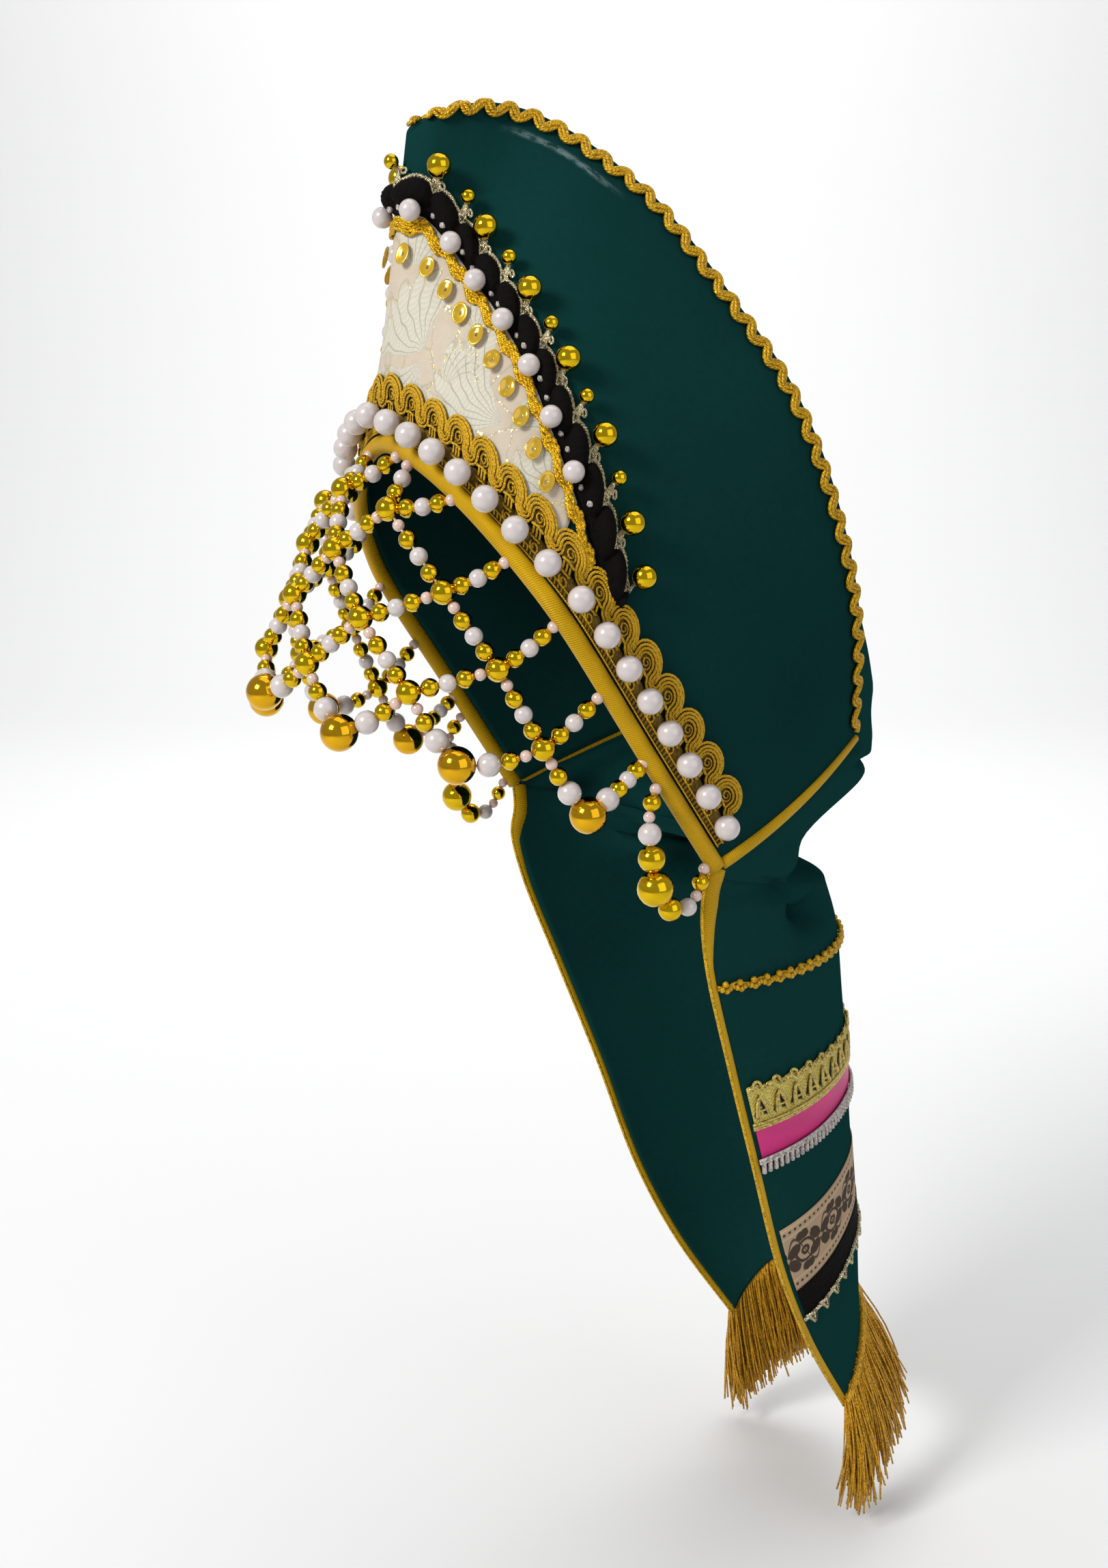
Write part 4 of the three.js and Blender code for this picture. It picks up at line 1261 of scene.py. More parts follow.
class HEADDRESS_OT_forehead_lace(HeaddressOperator):
    """Lay the gold gimp lace above the face edge."""

    bl_idname = "headdress.forehead_lace"
    bl_label = "Forehead lace"

    def build(self):
        size = sizes()
        step = 2 * FOREHEAD_END / size.pearl_count
        self.work = Work()
        middles = [-FOREHEAD_END + k * step for k in range(1, size.pearl_count)]
        for offset in GIMP_CORDS:
            points = []
            for middle in [-FOREHEAD_END, *middles]:
                points += [(middle, x, height) for x, height in gimp_wave(offset)]
            self.cord(self.spot, points, 2.3 - 0.2 * offset**2, size.gimp_cord)
        for middle in middles:
            for points, lift, thick in gimp_repeat():
                placed = [(middle, x, height) for x, height in points]
                self.cord(self.spot, placed, lift, size.gimp_cord * thick)
        shares = [FOREHEAD_END * (2 * k / 240 - 1) for k in range(241)]
        for up in (0.4, 3.0):
            self.cord(self.rail, [(share, up) for share in shares], 1.25, 0.42)
        rungs = int(2 * FOREHEAD_END * CROWN.half_face / 1.6)
        for k in range(rungs):
            share = FOREHEAD_END * (2 * (k + 0.5) / rungs - 1)
            self.cord(self.rail, [(share, 0.2), (share, 3.2)], 1.1, 0.4)
        self.work.finish("gimp_lace", paint(gimp_thread), "gold_gimp", ["forehead_lace"])
        self.ground(middles)

    def cord(self, place, points, lift, radius):
        """Lay a cord of the lace, its upper side away from the crown."""
        path = [place(*point, lift) for point in points]
        # The normals set which side of each cord takes the gimp's painted light and which its painted shade.
        normals = [(place(*point, lift + 1) - spot).normalized() for point, spot in zip(points, path)]
        self.work.cord(path, radius, 6, 1.0, normals)

    def ground(self, middles):
        """A dark sheet behind the openings, put there as painted shade."""
        work = Work()

        def strip(across, up):
            return self.rail(FOREHEAD_END * (2 * across - 1), lerp(0.2, 8.4, up), 0.8)

        # The strip, and the discs inside the arches below, are painted shade seen through the openings.
        work.sheet(180, 4, strip, (400, 9))
        for middle in middles:

            def disc(around, reach, middle=middle):
                turn = math.tau * around
                height = GIMP_CENTRE - 0.6 + 3.4 * reach * math.sin(turn)
                return self.spot(middle, 3.2 * reach * math.cos(turn), height, 0.95)

            work.sheet(12, 2, disc, (20, 3))
        work.finish("gimp_backing", paint(wound_thread, "gimp_ground"), "gold_gimp", (), 0.3)

    @staticmethod
    def spot(middle, along, height, lift):
        """Point of the lace, by millimetres along from a middle and up from the face edge."""
        share = middle + along / GIMP_PITCH * 2 * FOREHEAD_END / sizes().pearl_count
        share = min(max(share, -FOREHEAD_END), FOREHEAD_END)
        slant = CROWN.clear_of_edge(share, 3.5) - 3.5
        return CROWN.above_edge(share, height + slant, lift)

    @staticmethod
    def rail(share, up, lift):
        """Point in the ladder beside the binding."""
        return CROWN.above_edge(share, CROWN.clear_of_edge(share, 3.6) + up, lift)


class HEADDRESS_OT_forehead_pearls(HeaddressOperator):
    """Sew a pearl between every two scallops of the forehead lace."""

    bl_idname = "headdress.forehead_pearls"
    bl_label = "Forehead pearls"

    def build(self):
        size = sizes()
        work = Work()
        names = []
        for k in range(size.pearl_count):
            name = f"forehead_pearl_{k + 1:02d}"
            low, high = (Vector(corner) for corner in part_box(name))
            work.ball((low + high) / 2 / MM, size.pearl_radius, 24, 16)
            names.append(name)
        work.finish("pearl_row", paint(pearl_coat, "pearl"), "pearl", names)


# Upper edge of the forehead lace; inner edge of the black lace, length of a puff in it, and the distances
# between its pearls and between its large balls
FOREHEAD_TOP = 24.1
LACE_INNER = -9.0
LACE_BUMP = 13.8
LACE_PEARLS = 18.4
LACE_BALLS = 2 * LACE_BUMP


def lace_edge(distance):
    """Reach of the black lace beyond its line: rounded puffs that meet beside the balls."""
    along = (distance / LACE_BUMP) % 1.0 - 0.5
    return -0.6 + 6.2 * math.sqrt(max(1 - (along / 0.53) ** 2, 0.06))


def lace_puff(distance, offset):
    """Height of the black lace above its ground."""
    along = (distance / LACE_BUMP) % 1.0 - 0.5
    far = (along / 0.53) ** 2 + ((offset + 0.6) / 6.3) ** 2
    knob = 0.35 * math.sin(distance * 2.4) * math.sin(offset * 1.9)
    return (4.6 + knob) * max(1 - far, 0) ** 0.5


def picot_knot(work, place, middle, outer, inner, half):
    """A three-cornered knot of thread; place(distance, offset, lift) gives its points."""
    path = []
    for k in range(11):
        part = k / 10
        swing = half * (1 - 0.85 * part) * (1 if k % 2 else -1)
        path.append(place(middle + swing, lerp(outer, inner, part), 2.0 + 0.5 * (k % 2)))
    work.cord(path, 0.52, 5)
    for swing in (-0.6, 0.5):
        spots = [(middle + swing * half * (1 - part), lerp(outer, inner, part)) for part in (0, 0.5, 1)]
        work.cord([place(*spot, 2.4) for spot in spots], 0.5, 5)


def lace_foot(distance, offset):
    """Offset kept above the forehead lace."""
    share = LACE.share(distance)
    return max(LACE.line(share) + offset, FOREHEAD_TOP - 3) - LACE.line(share)


class HEADDRESS_OT_black_lace(HeaddressOperator):
    """Lay the padded black lace with its picot edge, pearls and gold balls."""

    bl_idname = "headdress.black_lace"
    bl_label = "Black lace"

    def build(self):
        size = sizes()
        reach = LACE.length - 1
        self.band(reach)
        self.stitches(reach)
        pearls = Work()
        balls = Work()
        knots = [(0, 11.6, size.small_ball)]
        for side in (-1, 1):
            for k in range(9):
                distance = LACE_PEARLS / 2 + LACE_PEARLS * k
                if distance < reach - 30:
                    pearls.ball(LACE.at(side * distance, -8.6, 6.0), size.lace_pearl, 20, 12)
            for k in range(7):
                knots.append((side * (LACE_BUMP + LACE_BALLS * k), 11.0, size.lace_ball))
                if LACE_BALLS * (k + 1) < reach - 8:
                    knots.append((side * LACE_BALLS * (k + 1), 11.6, size.small_ball))
        for distance, offset, radius in knots:
            balls.ball(LACE.at(distance, offset, radius + 2.2), radius, 24, 16)
        pearls.finish("lace_pearls", paint(pearl_coat, "pearl"), "pearl")
        balls.finish("lace_balls", paint(gold_plate), "gold_bead")
        self.picot(reach, knots)

    @staticmethod
    def band(reach):
        """The padded black band, in puffs along its outer edge."""
        work = Work()

        def place(across, up):
            distance = (2 * across - 1) * reach
            inner = lace_foot(distance, LACE_INNER)
            outer = max(lace_edge(distance), inner + 1)
            offset = lerp(inner, outer, up)
            low = math.sin(math.pi * min(max(up, 0.0), 1.0)) ** 0.5
            return LACE.at(distance, offset, 0.7 + 1.2 * low + lace_puff(distance, offset))

        work.sheet(int(2 * reach / 0.8), 16, place, (2 * reach, 14))
        work.finish("black_band", paint(black_thread), "black_lace", ["black_lace"], 0.5)

    @staticmethod
    def stitches(reach):
        """Pairs of white stitches between the pearls."""
        work = Work()
        for side in (-1, 1):
            for k in range(-1, 9):
                for shift in (6.6, 12.4):
                    distance = LACE_PEARLS / 2 + LACE_PEARLS * k + shift
                    if 2 < distance < reach - 24:
                        lift = 1.9 + lace_puff(distance, -5.9)
                        spots = [(side * (distance + 0.5 * t), -5.9 + 1.2 * t) for t in (-1, 0, 1)]
                        work.cord([LACE.at(*spot, lift) for spot in spots], [0.6, 1.2, 0.6], 8)
        work.finish("lace_stitches", paint(wound_thread, "white_cotton"), "white_cotton")

    @staticmethod
    def picot(reach, knots):
        """A glittering chain along the outer edge, knots between the puffs and stems to the balls."""
        work = Work()
        steps = int(2 * reach / 0.55)
        for thread in (0, 1):
            path = []
            for k in range(steps + 1):
                distance = -reach + 2 * reach * k / steps
                line = 5.4 - 0.9 * math.cos(math.tau * distance / LACE_BUMP)
                twist = distance * 2.6 + thread * math.pi
                path.append(LACE.at(distance, line + 0.5 * math.sin(twist), 1.7 + 0.4 * math.cos(twist)))
            work.cord(path, 0.52, 5)
        count = int(reach / LACE_BUMP)
        for k in range(-count, count + 1):
            picot_knot(work, LACE.at, LACE_BUMP * k, 5.0, 0.6, 3.2)
        for distance, offset, radius in knots:
            for spread in (-1.3, 0.1, 1.4):
                path = []
                for t in (0, 0.35, 0.7, 1):
                    up = lerp(4.6, offset - radius * 0.3, t)
                    path.append(LACE.at(distance + spread * (1 - t), up, lerp(1.7, 2.4, t)))
                work.cord(path, 0.52, 5)
            ring = []
            for step in range(11):
                turn = math.tau * step / 10
                up = offset - radius - 0.4 + 1.1 * math.cos(turn)
                ring.append(LACE.at(distance + 2.6 + 1.1 * math.sin(turn), up, 2.0))
            work.cord(ring, 0.45, 5)
        work.finish("lace_picot", paint(wound_thread, "picot"), "gold_braid")


def turned(first, second, turn):
    """Two directions turned in their plane, the first towards the second."""
    along, across = math.cos(turn), math.sin(turn)
    return first * along + second * across, second * along - first * across


class HEADDRESS_OT_front_panel(HeaddressOperator):
    """Lay the brocade panel, the wavy gold braid round it and the sequins."""

    bl_idname = "headdress.front_panel"
    bl_label = "Front panel"

    def build(self):
        self.brocade()
        self.braid()
        self.sequins()

    @staticmethod
    def brocade():
        """Cream panel under the braid and the forehead lace."""
        work = Work()

        def place(across, up):
            share = (2 * across - 1) * BROCADE_END
            top = max(LACE.line(share) - 10, FOREHEAD_TOP - 5)
            return CROWN.above_edge(share, lerp(FOREHEAD_TOP - 7, top, up), 0.75)

        work.sheet(120, 40, place, (2 * BROCADE_END * CROWN.half_face, 70))
        work.finish("brocade_front", paint(brocade_cloth), "brocade", ["brocade_panel"], 0.4)

    @staticmethod
    def braid():
        """Bright cords side by side that wave along the inner edge of the black lace."""
        work = Work()
        reach = LACE.length - 22
        steps = int(2 * reach / 0.8)
        for strand in range(5):
            path = []
            for k in range(steps + 1):
                distance = -reach + 2 * reach * k / steps
                wave = math.sin(math.tau * distance / 11.8 + 0.6)
                weave = math.sin(math.tau * distance / 3.1 + strand * math.pi)
                offset = lace_foot(distance, BRAID_OFFSET + 1.1 * wave + strand - 2)
                path.append(LACE.at(distance, offset + 0.2 * weave, 1.6 + 0.3 * weave))
            work.cord(path, 0.66, 6)
        work.finish("front_braid", paint(wound_thread, "gold_braid"), "gold_braid", ["sequin_braid"])

    @staticmethod
    def sequins():
        """Cupped oval discs with a hole, hanging from the braid."""
        size = sizes()
        work = Work()
        dice = random.Random(5)
        for side in (-1, 1):
            for k in range(13):
                distance = side * (7 + 11.4 * k)
                share = LACE.share(distance)
                up = LACE.line(share) - 22.6
                if up < FOREHEAD_TOP + 1.5:
                    continue
                centre = CROWN.above_edge(share, up, 2.2)
                out = CROWN.normal(share, up / CROWN.length(share))
                climb = (CROWN.above_edge(share, up + 2, 2.2) - centre).normalized()
                along = climb.cross(out)
                tilt = dice.uniform(-0.05, 0.25)
                lean = side * dice.uniform(0.0, 0.3)
                out, climb = turned(out, climb, tilt)
                out, along = turned(out, along, lean)

                def place(around, reach, centre=centre, out=out, along=along, climb=climb):
                    turn = math.tau * around
                    far = size.sequin * lerp(0.16, 1, reach)
                    cup = 0.75 * reach**2 - 0.25 * max(reach - 0.85, 0) / 0.15
                    side_way = along * (0.76 * far * math.cos(turn))
                    return centre + side_way + climb * (1.08 * far * math.sin(turn)) + out * cup

                work.sheet(24, 6, place, (20, 3))
        work.finish("sequin_row", paint(sequin_film), "gold_braid", (), 0.25)


# Crest braid: distance of its middle below the crest by share of the crest, and its ends as shares
CREST_INSETS = [(0, -0.8), (0.05, 0), (0.1, 2), (0.14, 2.6), (0.2, 2.7), (1, 3.1)]
CREST_ENDS = (0.03, 0.985)


class HEADDRESS_OT_crest_braid(HeaddressOperator):
    """Sew the waved gold braid along the crest."""

    bl_idname = "headdress.crest_braid"
    bl_label = "Crest braid"

    def build(self):
        size = sizes()
        work = Work()
        for side in (-1, 1):
            start, end = (CROWN.half_crest * share for share in CREST_ENDS)
            steps = int((end - start) / 0.6)
            for strand in (-1, 0, 1):
                path = []
                for k in range(steps + 1):
                    distance = lerp(start, end, k / steps)
                    phase = math.tau * distance / size.braid_pitch
                    share = (distance - strand * 0.75 * math.cos(phase)) / CROWN.half_crest
                    up = CROWN.length(share) - between(CREST_INSETS, share, 1)
                    up += 1.6 * math.sin(phase) + strand * 0.85
                    ridge = max(up - CROWN.length(share), 0)
                    lift = 1.4 + 0.3 * (strand == 0) - 0.75 * ridge
                    path.append(CROWN.above_edge(side * share, up - 0.45 * ridge, lift))
                work.cord(path, 0.72, 6)
        work.finish("crest_gimp", paint(wound_thread, "crest_braid"), "gold_braid", ["crest_braid"])


def gather(across, level):
    """Depth of the folds in the back cloth, which open out upwards from the nape."""
    level = level * 13 / 12
    near = max(0.0, (level - 0.45) / 0.55)
    side = min(across, 1 - across)
    wave = math.sin(across * 31 + 1.3 * math.sin(level * 9)) + 0.6 * math.sin(across * 53 + level * 6)
    fold = -4.5 * math.exp(-(((level - 0.745 + 0.12 * (side - 0.3)) / 0.022) ** 2)) * min(side / 0.2, 1) ** 2
    lobe = 5.5 * math.exp(-(((side - 0.16) / 0.07) ** 2) - ((level - 0.97) / 0.05) ** 2)
    return 1.3 * near**1.5 * wave * math.sin(math.pi * across) ** 0.5 + fold + lobe


class HEADDRESS_OT_back_cloth(HeaddressOperator):
    """Hang the soft back cloth between the crest edges and gather it at the nape."""

    bl_idname = "headdress.back_cloth"
    bl_label = "Back cloth"

    def build(self):
        work = Work()

        def place(across, up):
            level = (1 - up) ** 1.3
            return CLOTH.lifted(across, level, gather(across, level))

        work.sheet(110, 120, place, (240, 300))
        wall = sizes().cloth_wall
        cloth = work.finish("back_soft", paint(green_cloth), "green_cloth", ["back_cloth"], wall)


def tail_dent(across, down):
    """Hollow and soft waves of the tail below the nape."""
    side = min(across, 1 - across)
    hollow = -16.0 * math.exp(-(((side - 0.225) / 0.06) ** 2) - ((down - 15) / 9) ** 2)
    wave = 1.0 * math.sin(across * 17 + down * 0.01) * math.sin(math.pi * across) * min(max(down, 0) / 60, 1)
    return hollow + wave


# Length of the tail's edge above the nape and below it
TAIL_LEAD = TAIL.edge.walked[TAIL.edge.SAMPLES // (len(TAIL_ROWS) - 1)]
TAIL_LENGTH = TAIL.edge.length - TAIL_LEAD


def tail_level(down):
    """Level of the tail at a distance down its edge from the nape."""
    return TAIL.level(down + TAIL_LEAD)


def tail_point(across, down, lift):
    """Point on the tail, by share across and distance down its edge."""
    return TAIL.lifted(across, tail_level(down), tail_dent(across, down) + lift)


def tail_along(distance, down, lift):
    """Point on the tail, by distance from its left edge."""
    return tail_point(TAIL.across(tail_level(down), distance), down, lift)


class HEADDRESS_OT_tail(HeaddressOperator):
    """Hang the tail with its gold edging."""

    bl_idname = "headdress.tail"
    bl_label = "Tail"

    def build(self):
        work = Work()
        work.sheet(
            110,
            140,
            lambda across, up: tail_point(across, lerp(TAIL_LENGTH, -TAIL_LEAD, up), 0),
            (190, TAIL.edge.length),
        )
        work.finish("tail_cloth", paint(green_cloth), "green_cloth", ["tail"], sizes().cloth_wall)
        for side, name in ((0, "left"), (1, "right")):
            binding, glint = Work(), Work()
            steps = 100
            path, normals, widths, rim = [], [], [], []
            for k in range(steps + 1):
                down = lerp(-TAIL_LEAD, TAIL_LENGTH, k / steps)
                edge = tail_point(side, down, -0.3)
                inward = (tail_point(abs(side - 0.01), down, -0.3) - edge).normalized()
                wide = lerp(3.2, 1.35, min(max((down - 4) / 24, 0), 1))
                path.append(edge + inward * (wide - 2.4))
                widths.append(wide)
                rim.append(edge - inward * 2.4)
                normals.append(TAIL.normal(side, tail_level(down)))
            binding.cord(path, widths, 12, 0.5, normals)
            binding.finish(f"tail_edge_{name}", paint(satin), "gold_satin", [f"tail_binding_{name}"])
            glint.cord(rim, 0.7, 6)
            glint.finish(f"tail_glint_{name}", paint(wound_thread, "gold_braid"), "gold_braid")


class HEADDRESS_OT_tail_trims(HeaddressOperator):
    """Sew the braids, ribbons and laces across the tail."""

    bl_idname = "headdress.tail_trims"
    bl_label = "Tail trims"

    def build(self):
        self.bobbles(37)
        self.band("tail_lace", 86, 104.2, 0.9, metal_lace, "gold_braid", ["tail_gold_lace"], 2.2)
        self.lace_cords(86, 104.2)
        self.band("tail_satin", 103.2, 119.4, 0.6, pink_satin, "pink_satin", ["tail_pink_ribbon"])
        self.stitches(119.2, 125)
        self.band("tail_ribbon", 155.5, 188, 0.7, pattern_ribbon, "beige_ribbon", ["tail_pattern_ribbon"])
        self.band("tail_lace_black", 188, 204, 1.0, black_thread, "black_lace", ["tail_black_lace"])
        self.picot(204)

    @staticmethod
    def lace_cords(top, bottom):
        """Raised threads of the metal lace: picot loops above, arches round its gaps, edges below."""
        work = Work()
        width = TAIL.width(tail_level((top + bottom) / 2))
        count = int((width - 4) / 9.0)
        for k in range(count):
            middle = 2 + (width - 4) * (k + 0.5) / count
            for slip, rise, reach in ((-2.9, -0.4, 1.3), (0, -2.6, 1.6), (2.9, -0.4, 1.3)):
                path = []
                for step in range(10):
                    turn = math.radians(-210 + 240 * step / 9)
                    along, down = reach * math.cos(turn), reach * math.sin(turn)
                    path.append(tail_along(middle + slip + along, top + rise + down, 1.5))
                work.cord(path, 0.6, 5)
            for shift in (3.3, 2.2):
                half = [(shift * 0.75, 8.6, 0), (shift, 13.4, 0)]
                shape = [(-x, y, 0) for x, y, _ in half[::-1]] + [(0, 4.6 - shift * 0.5, 0)] + half
                curve = Spline(shape)
                points = [curve.point(step / 12) for step in range(13)]
                work.cord([tail_along(middle + spot.x, top + spot.y, 1.5) for spot in points], 0.55, 5)
            work.cord([tail_along(middle + x, top + 9.8, 1.5) for x in (-1.4, 0, 1.4)], 0.5, 5)
        for down in (bottom - 2.4, bottom - 1.2, bottom - 0.2):
            work.cord([tail_along(1 + (width - 2) * step / 160, down, 1.3) for step in range(161)], 0.6, 5)
        work.finish("tail_lace_cords", paint(wound_thread, "lace_thread"), "gold_braid")

    @staticmethod
    def band(name, top, bottom, lift, maker, slot, nodes, scallop=0.0):
        """A flat trim from edge to edge; scallop waves its upper edge."""
        work = Work()
        middle = tail_level((top + bottom) / 2)
        width = TAIL.width(middle)

        def place(across, up):
            distance = lerp(1, width - 1, across)
            bump = abs(math.sin(math.pi * distance / 9.0)) ** 0.7
            bump += 0.25 * abs(math.sin(math.pi * distance / 3.0))
            crest = top - scallop * bump
            share = lerp(0.004, 0.996, TAIL.across(middle, distance))
            return tail_point(share, lerp(bottom, crest, up), lift)

        work.sheet(220, 10, place, (width - 2, bottom - top))
        work.finish(name, paint(maker), slot, nodes, 0.4)

    @staticmethod
    def bobbles(down):
        """A narrow braid of small gold knots in clusters: along, down, radius."""
        cluster = ((-1.7, 0.7, 1.15), (0, -1.3, 1.25), (1.7, 0.6, 1.15), (0.1, 1.5, 1.2), (3.1, 0.1, 0.9))
        work = Work()
        width = TAIL.width(tail_level(down))
        count = int(width / 6.2)
        for k in range(count):
            distance = width * (k + 0.5) / count
            for slip, drop, radius in cluster:
                work.ball(tail_along(distance + slip, down + drop, 1.3), radius, 10, 7)
        for shift in (-0.6, 0.6):
            spots = [(width * k / 160, down + shift + 0.7 * math.sin(k * 0.9)) for k in range(161)]
            work.cord([tail_along(*spot, 0.9) for spot in spots], 0.5, 5)
        work.finish("tail_bobbles", paint(wound_thread, "crest_braid"), "gold_braid", ["tail_bobble_braid"])

    @staticmethod
    def stitches(top, bottom):
        """White bars sewn side by side over the lower edge of the ribbon."""
        work = Work()
        middle = (top + bottom) / 2
        width = TAIL.width(tail_level(middle))
        count = int(width / 2.7)
        for k in range(count):
            distance = width * (k + 0.5) / count
            bar = ((0.5, top), (0, middle), (-0.5, bottom))
            work.cord([tail_along(distance + slip, down, 1.5) for slip, down in bar], 0.92, 7)
        for shift in (-0.3, 0.9):
            path = [tail_along(width * k / 120, top + shift, 1.6) for k in range(121)]
            work.cord(path, 0.62, 6)
        cotton = paint(wound_thread, "white_cotton")
        work.finish("tail_stitches", cotton, "white_cotton", ["tail_stitch_trim"])

    @staticmethod
    def picot(down):
        """Silvery points below the black lace."""

        def lowered(along, drop, lift):
            return tail_along(along, drop, lift - 0.6)

        work = Work()
        width = TAIL.width(tail_level(down))
        count = int(width / 7.5)
        for k in range(count):
            middle = width * (k + 0.5) / count
            picot_knot(work, lowered, middle, down - 1.5, down + 4, 2.6)
        for thread in (0, 1):
            path = []
            for k in range(int(width / 0.6) + 1):
                twist = k * 0.6 * 2.6 + thread * math.pi
                below = down - 0.6 + 0.5 * math.sin(twist)
                path.append(tail_along(k * 0.6, below, 1.5 + 0.3 * math.cos(twist)))
            work.cord(path, 0.5, 5)
        work.finish("tail_picot", paint(wound_thread, "picot"), "gold_braid")


class HEADDRESS_OT_fringe(HeaddressOperator):
    """Hang the gold fringe from the end of the tail."""

    bl_idname = "headdress.fringe"
    bl_label = "Fringe"

    def build(self):
        size = sizes()
        dice = random.Random(11)
        work = Work()
        for k in range(size.fringe_threads):
            across = (k + dice.random()) / size.fringe_threads
            root = tail_point(across, TAIL_LENGTH - dice.uniform(0.5, 3.5), dice.uniform(-1.2, 2.2))
            out = TAIL.normal(across, 1)
            middle = math.sin(math.pi * across)
            length = size.fringe_length * dice.uniform(0.8, 1.02)
            lean = Vector((0, (0.22 + 0.8 * middle) * 20, 0)) + out * dice.uniform(-5, 7)
            lean += Vector((dice.uniform(-4, 4), dice.uniform(-4, 4), 0))
            curl = Vector((dice.uniform(-2, 2), dice.uniform(-2, 2), 0)) + out * 2.5
            path = []
            for step in range(6):
                part = step / 5
                sway = lean * part**1.2 + curl * math.sin(math.pi * part)
                path.append(root + sway - UP * (length * part))
            work.cord(path, dice.uniform(0.28, 0.46), 4)
        header = [tail_point(k / 80, TAIL_LENGTH - 1.5, 1.2) for k in range(81)]
        work.cord(header, 1.6, 8)
        work.finish("fringe_threads", paint(wound_thread, "gold_fringe"), "gold_fringe", ["fringe"])


class HEADDRESS_OT_bead_net(HeaddressOperator):
    """String the bead net over the forehead and the loops beside the ears."""

    bl_idname = "headdress.bead_net"
    bl_label = "Bead net"

    def build(self):
        self.beads = {"gold": Work(), "deep": Work(), "pearl": Work(), "tiny": Work()}
        self.thread = Work()
        for side in (1, -1):
            self.half(side)
            self.ear_loop(side)
        nodes = ["bead_net_left", "bead_net_right", "ear_loop_left", "ear_loop_right"]
        drop = paint(gold_plate, "deep_gold", "deep_gold")
        pearl = paint(pearl_coat, "pearl")
        blush = paint(pearl_coat, "blush_pearl", "blush")
        self.beads["gold"].finish("net_gold_beads", paint(gold_plate), "gold_bead", nodes)
        self.beads["deep"].finish("net_drops", drop, "gold_bead")
        self.beads["pearl"].finish("net_pearls", pearl, "pearl")
        self.beads["tiny"].finish("net_blush_pearls", blush, "pearl")
        self.thread.finish("net_thread", paint(wound_thread, "white_cotton"), "white_cotton")

    def half(self, side):
        """Junction beads and strings of one half; the middle column is strung with the left half."""

        def place(name):
            point = Vector(NET_JUNCTIONS[name][:3])
            return point if side > 0 else mirrored(point)

        for name, row in NET_JUNCTIONS.items():
            if side > 0 or row[0]:
                kind = "deep" if name.startswith("drop") else "gold"
                self.beads[kind].ball(place(name), row[3], 26, 16)
        for upper, lower in NET_STRINGS:
            drop = lower.startswith("drop")
            start, end = place(upper), place(lower)
            middle = start.lerp(end, 0.5) - UP * (NET_SAG if drop else 0.6)
            path = [start.lerp(middle, k / 12).lerp(middle.lerp(end, k / 12), k / 12) for k in range(13)]
            ends = (NET_JUNCTIONS[upper][3], NET_JUNCTIONS[lower][3])
            self.string(path, DROP_BEADS if drop else LINK_BEADS, ends)
        for name, share in NET_TIES:
            start = place(name)
            seat = CROWN.face.point((1 + side * share) / 2)
            end = seat + (start - seat).normalized() * (sizes().binding_radius * 0.75)
            path = [start.lerp(end, k / 8) - UP * math.sin(math.pi * k / 8) for k in range(9)]
            row = self.tie_beads(name, (start - end).length)
            self.string(path, row, (NET_JUNCTIONS[name][3], 0))

    @staticmethod
    def tie_beads(name, far):
        """Beads of a tie to the face edge, fewer where it is short."""
        if name.startswith("drop"):
            return END_TIE_BEADS
        if far > LONG_TIE:
            return TIE_BEADS
        return TIE_BEADS[: 1 if far < SHORT_TIE else 2] + TIE_BEADS[3:]

    def string(self, path, row, ends):
        """Thread the beads of a row along a path, between what its ends hold."""
        curve = Spline(path)
        self.thread.cord(path, 0.45, 5)
        free = curve.length - sum(ends) - sum(2 * radius for _, radius in row)
        gap = free / (len(row) + 1)
        walked = ends[0]
        for kind, radius in row:
            walked += gap + radius
            self.beads[kind].ball(curve.point(walked / curve.length), radius, 18, 12)
            walked += radius

    def ear_loop(self, side):
        """A loop of beads from the face edge down and back to the ear corner."""
        hanging = [Vector(point) for point in EAR_LOOP]
        seats = [CROWN.face.point((1 + share) / 2) for share in EAR_LOOP_ENDS]
        top = seats[0] + (hanging[0] - seats[0]).normalized() * sizes().binding_radius
        end = seats[1] + (hanging[-1] - seats[1]).normalized() * sizes().binding_radius
        points = [top, *hanging, end]
        points = points if side > 0 else [mirrored(point) for point in points]
        curve = Spline(points)
        self.string([curve.point(k / 40) for k in range(41)], EAR_LOOP_BEADS, (0, 0))


CAMERA_PLACE = (530, -304, 148.6)
CAMERA_TURN = math.radians(62)
CAMERA_PITCH = math.radians(12.4)
CAMERA_LENS = 37.63
CAMERA_AHEAD = Vector((-math.sin(CAMERA_TURN), math.cos(CAMERA_TURN), 0))
CAMERA_RIGHT = Vector((math.cos(CAMERA_TURN), math.sin(CAMERA_TURN), 0))

# The floor, in metres: its drop below the part, where it starts to bend up, and the radius of the bend
FLOOR_DROP = 0.012
FLOOR_BEND = 2.0
FLOOR_RADIUS = 1.2


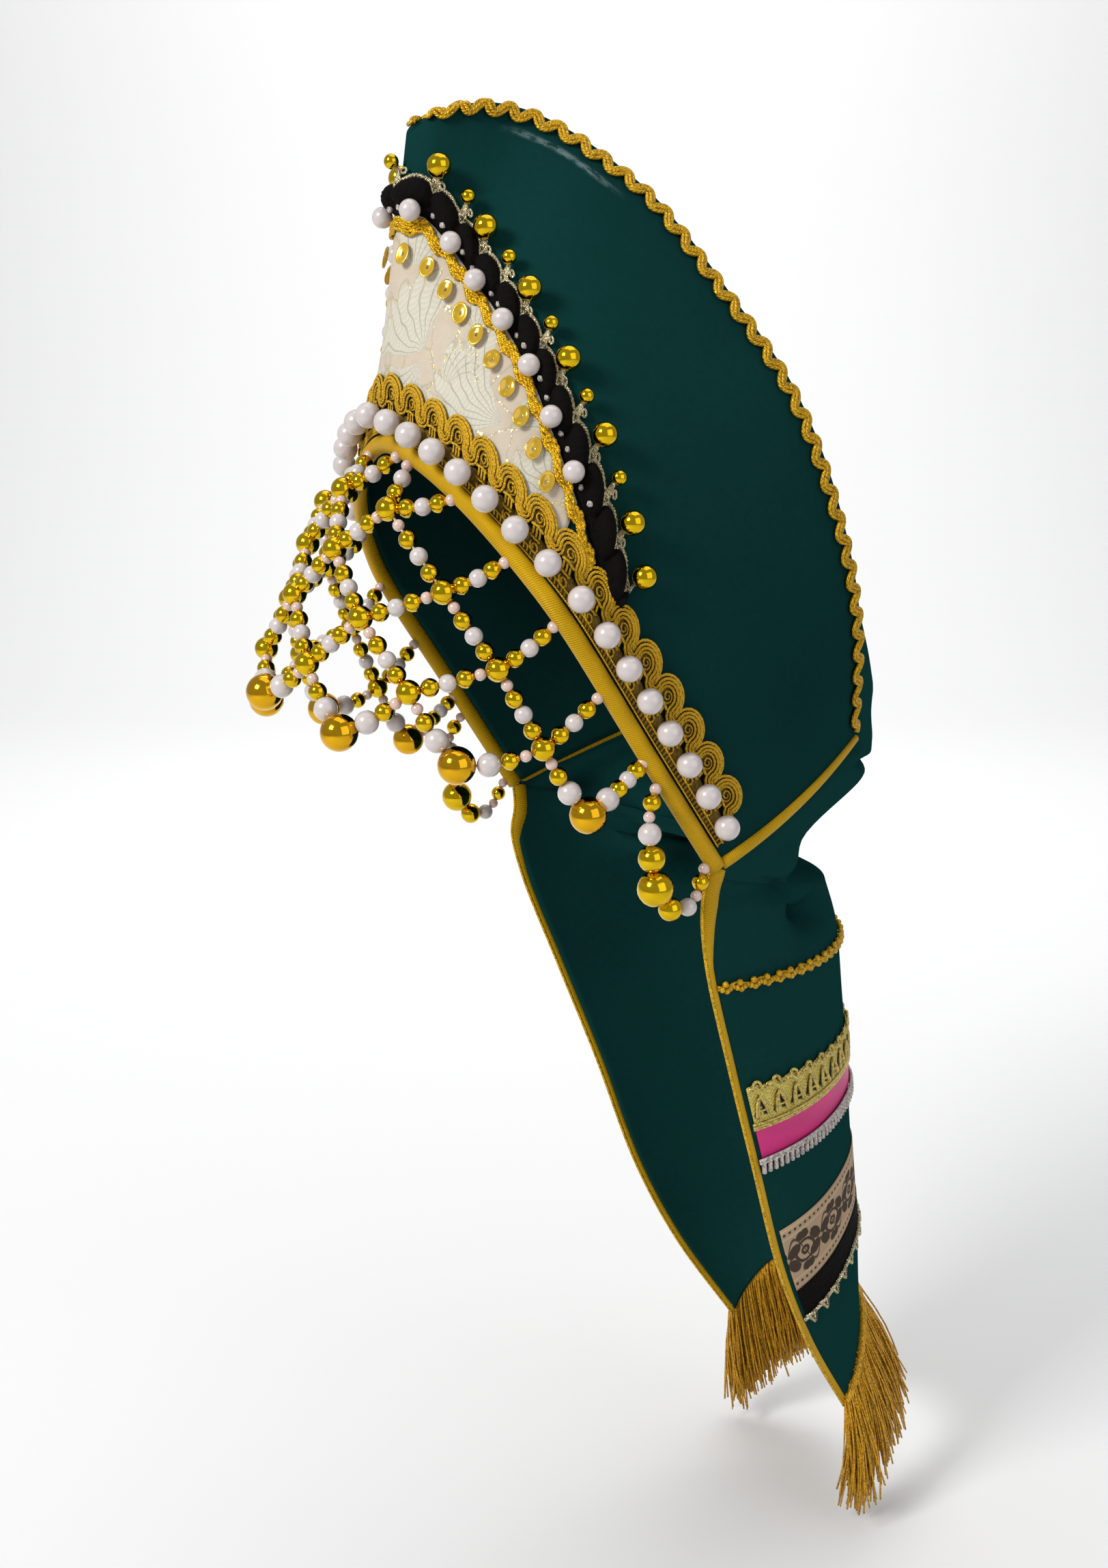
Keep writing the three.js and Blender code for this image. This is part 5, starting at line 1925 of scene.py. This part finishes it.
class HEADDRESS_OT_stage(HeaddressOperator):
    """Set the floor, the lights and the camera."""

    bl_idname = "headdress.stage"
    bl_label = "Stage"

    def build(self):
        self.floor()
        self.lights()
        self.camera()

    @staticmethod
    def floor():
        """A pale floor that bends up into a backdrop."""
        work = bmesh.new()
        made = bmesh.ops.create_grid(work, x_segments=8, y_segments=48, size=0.5)
        lowest = CAD_BOX[0][2] - FLOOR_DROP
        for vert in made["verts"]:
            side, along = vert.co.x * 9, (vert.co.y + 0.5) * 8 - 3
            turn = min(max((along - FLOOR_BEND) / FLOOR_RADIUS, 0), math.pi / 2)
            run = min(along, FLOOR_BEND) + FLOOR_RADIUS * math.sin(turn)
            wall = max(along - FLOOR_BEND - FLOOR_RADIUS * math.pi / 2, 0)
            climb = FLOOR_RADIUS * (1 - math.cos(turn)) + wall
            vert.co = CAMERA_AHEAD * run + CAMERA_RIGHT * side + UP * (lowest + climb)
        data = bpy.data.meshes.new("floor")
        for face in work.faces:
            face.smooth = True
        work.to_mesh(data)
        work.free()
        floor = bpy.data.objects.new("floor", data)
        bpy.context.collection.objects.link(floor)
        data.materials.append(paint(floor_paint))

    @staticmethod
    def lights():
        """Soft studio light: a key from the front left, a fill, a top light and a washed backdrop."""
        middle = Vector((0, 0, 0.02))
        rows = [
            ("key", Vector((0.30, -1.25, 0.85)), middle, 0.45, 18),
            ("fill", Vector((1.5, 0.4, 0.6)), middle, 1.4, 6),
            ("top", Vector((-0.2, 0.4, 2.2)), middle, 2.0, 13),
            ("backdrop", CAMERA_AHEAD + UP * 1.9, CAMERA_AHEAD * 3.2 + UP * 0.5, 1.6, 48),
        ]
        for name, place, goal, width, power in rows:
            data = bpy.data.lights.new(name, "AREA")
            data.size = width
            data.energy = power
            lamp = bpy.data.objects.new(name, data)
            lamp.location = place
            lamp.rotation_euler = (goal - place).to_track_quat("-Z", "Y").to_euler()
            bpy.context.collection.objects.link(lamp)
        world = bpy.data.worlds.new("studio")
        world.use_nodes = True
        background = world.node_tree.nodes["Background"]
        background.inputs["Color"].default_value = (0.97, 0.98, 1.0, 1)
        background.inputs["Strength"].default_value = 0.4
        bpy.context.scene.world = world
        bpy.context.scene.view_settings.view_transform = "Standard"

    @staticmethod
    def camera():
        """Camera at the photograph's angle."""
        data = bpy.data.cameras.new("camera")
        data.lens = CAMERA_LENS
        data.sensor_width = 36
        data.clip_start = 0.01
        camera = bpy.data.objects.new("camera", data)
        camera.location = Vector(CAMERA_PLACE) * MM
        camera.rotation_euler = (math.pi / 2 - CAMERA_PITCH, 0, CAMERA_TURN)
        bpy.context.collection.objects.link(camera)
        bpy.context.scene.camera = camera


STEPS = (
    HEADDRESS_OT_crown,
    HEADDRESS_OT_bindings,
    HEADDRESS_OT_forehead_lace,
    HEADDRESS_OT_forehead_pearls,
    HEADDRESS_OT_black_lace,
    HEADDRESS_OT_front_panel,
    HEADDRESS_OT_crest_braid,
    HEADDRESS_OT_back_cloth,
    HEADDRESS_OT_tail,
    HEADDRESS_OT_tail_trims,
    HEADDRESS_OT_fringe,
    HEADDRESS_OT_bead_net,
    HEADDRESS_OT_stage,
)


class HEADDRESS_PT_panel(bpy.types.Panel):
    """Steps, sizes and colours of the headdress."""

    bl_idname = "HEADDRESS_PT_panel"
    bl_label = "Kokoshnik"
    bl_space_type = "VIEW_3D"
    bl_region_type = "UI"
    bl_category = "Kokoshnik"

    def draw(self, context):
        for step in STEPS:
            self.layout.operator(step.bl_idname)
        for group in (context.scene.headdress_sizes, context.scene.headdress_colours):
            box = self.layout.box()
            for name in group.__annotations__:
                box.prop(group, name)


CLASSES = (HeaddressSizes, HeaddressColours, *STEPS, HEADDRESS_PT_panel)


def register():
    """Register the classes and hang the settings on the scene."""
    for item in CLASSES:
        bpy.utils.register_class(item)
    bpy.types.Scene.headdress_sizes = bpy.props.PointerProperty(type=HeaddressSizes)
    bpy.types.Scene.headdress_colours = bpy.props.PointerProperty(type=HeaddressColours)


def unregister():
    """Remove the settings and the classes."""
    del bpy.types.Scene.headdress_sizes
    del bpy.types.Scene.headdress_colours
    for item in reversed(CLASSES):
        bpy.utils.unregister_class(item)


def main():
    """Build every piece in order."""
    register()
    for step in STEPS:
        group, name = step.bl_idname.split(".")
        getattr(getattr(bpy.ops, group), name)()


if __name__ == "__main__":
    main()
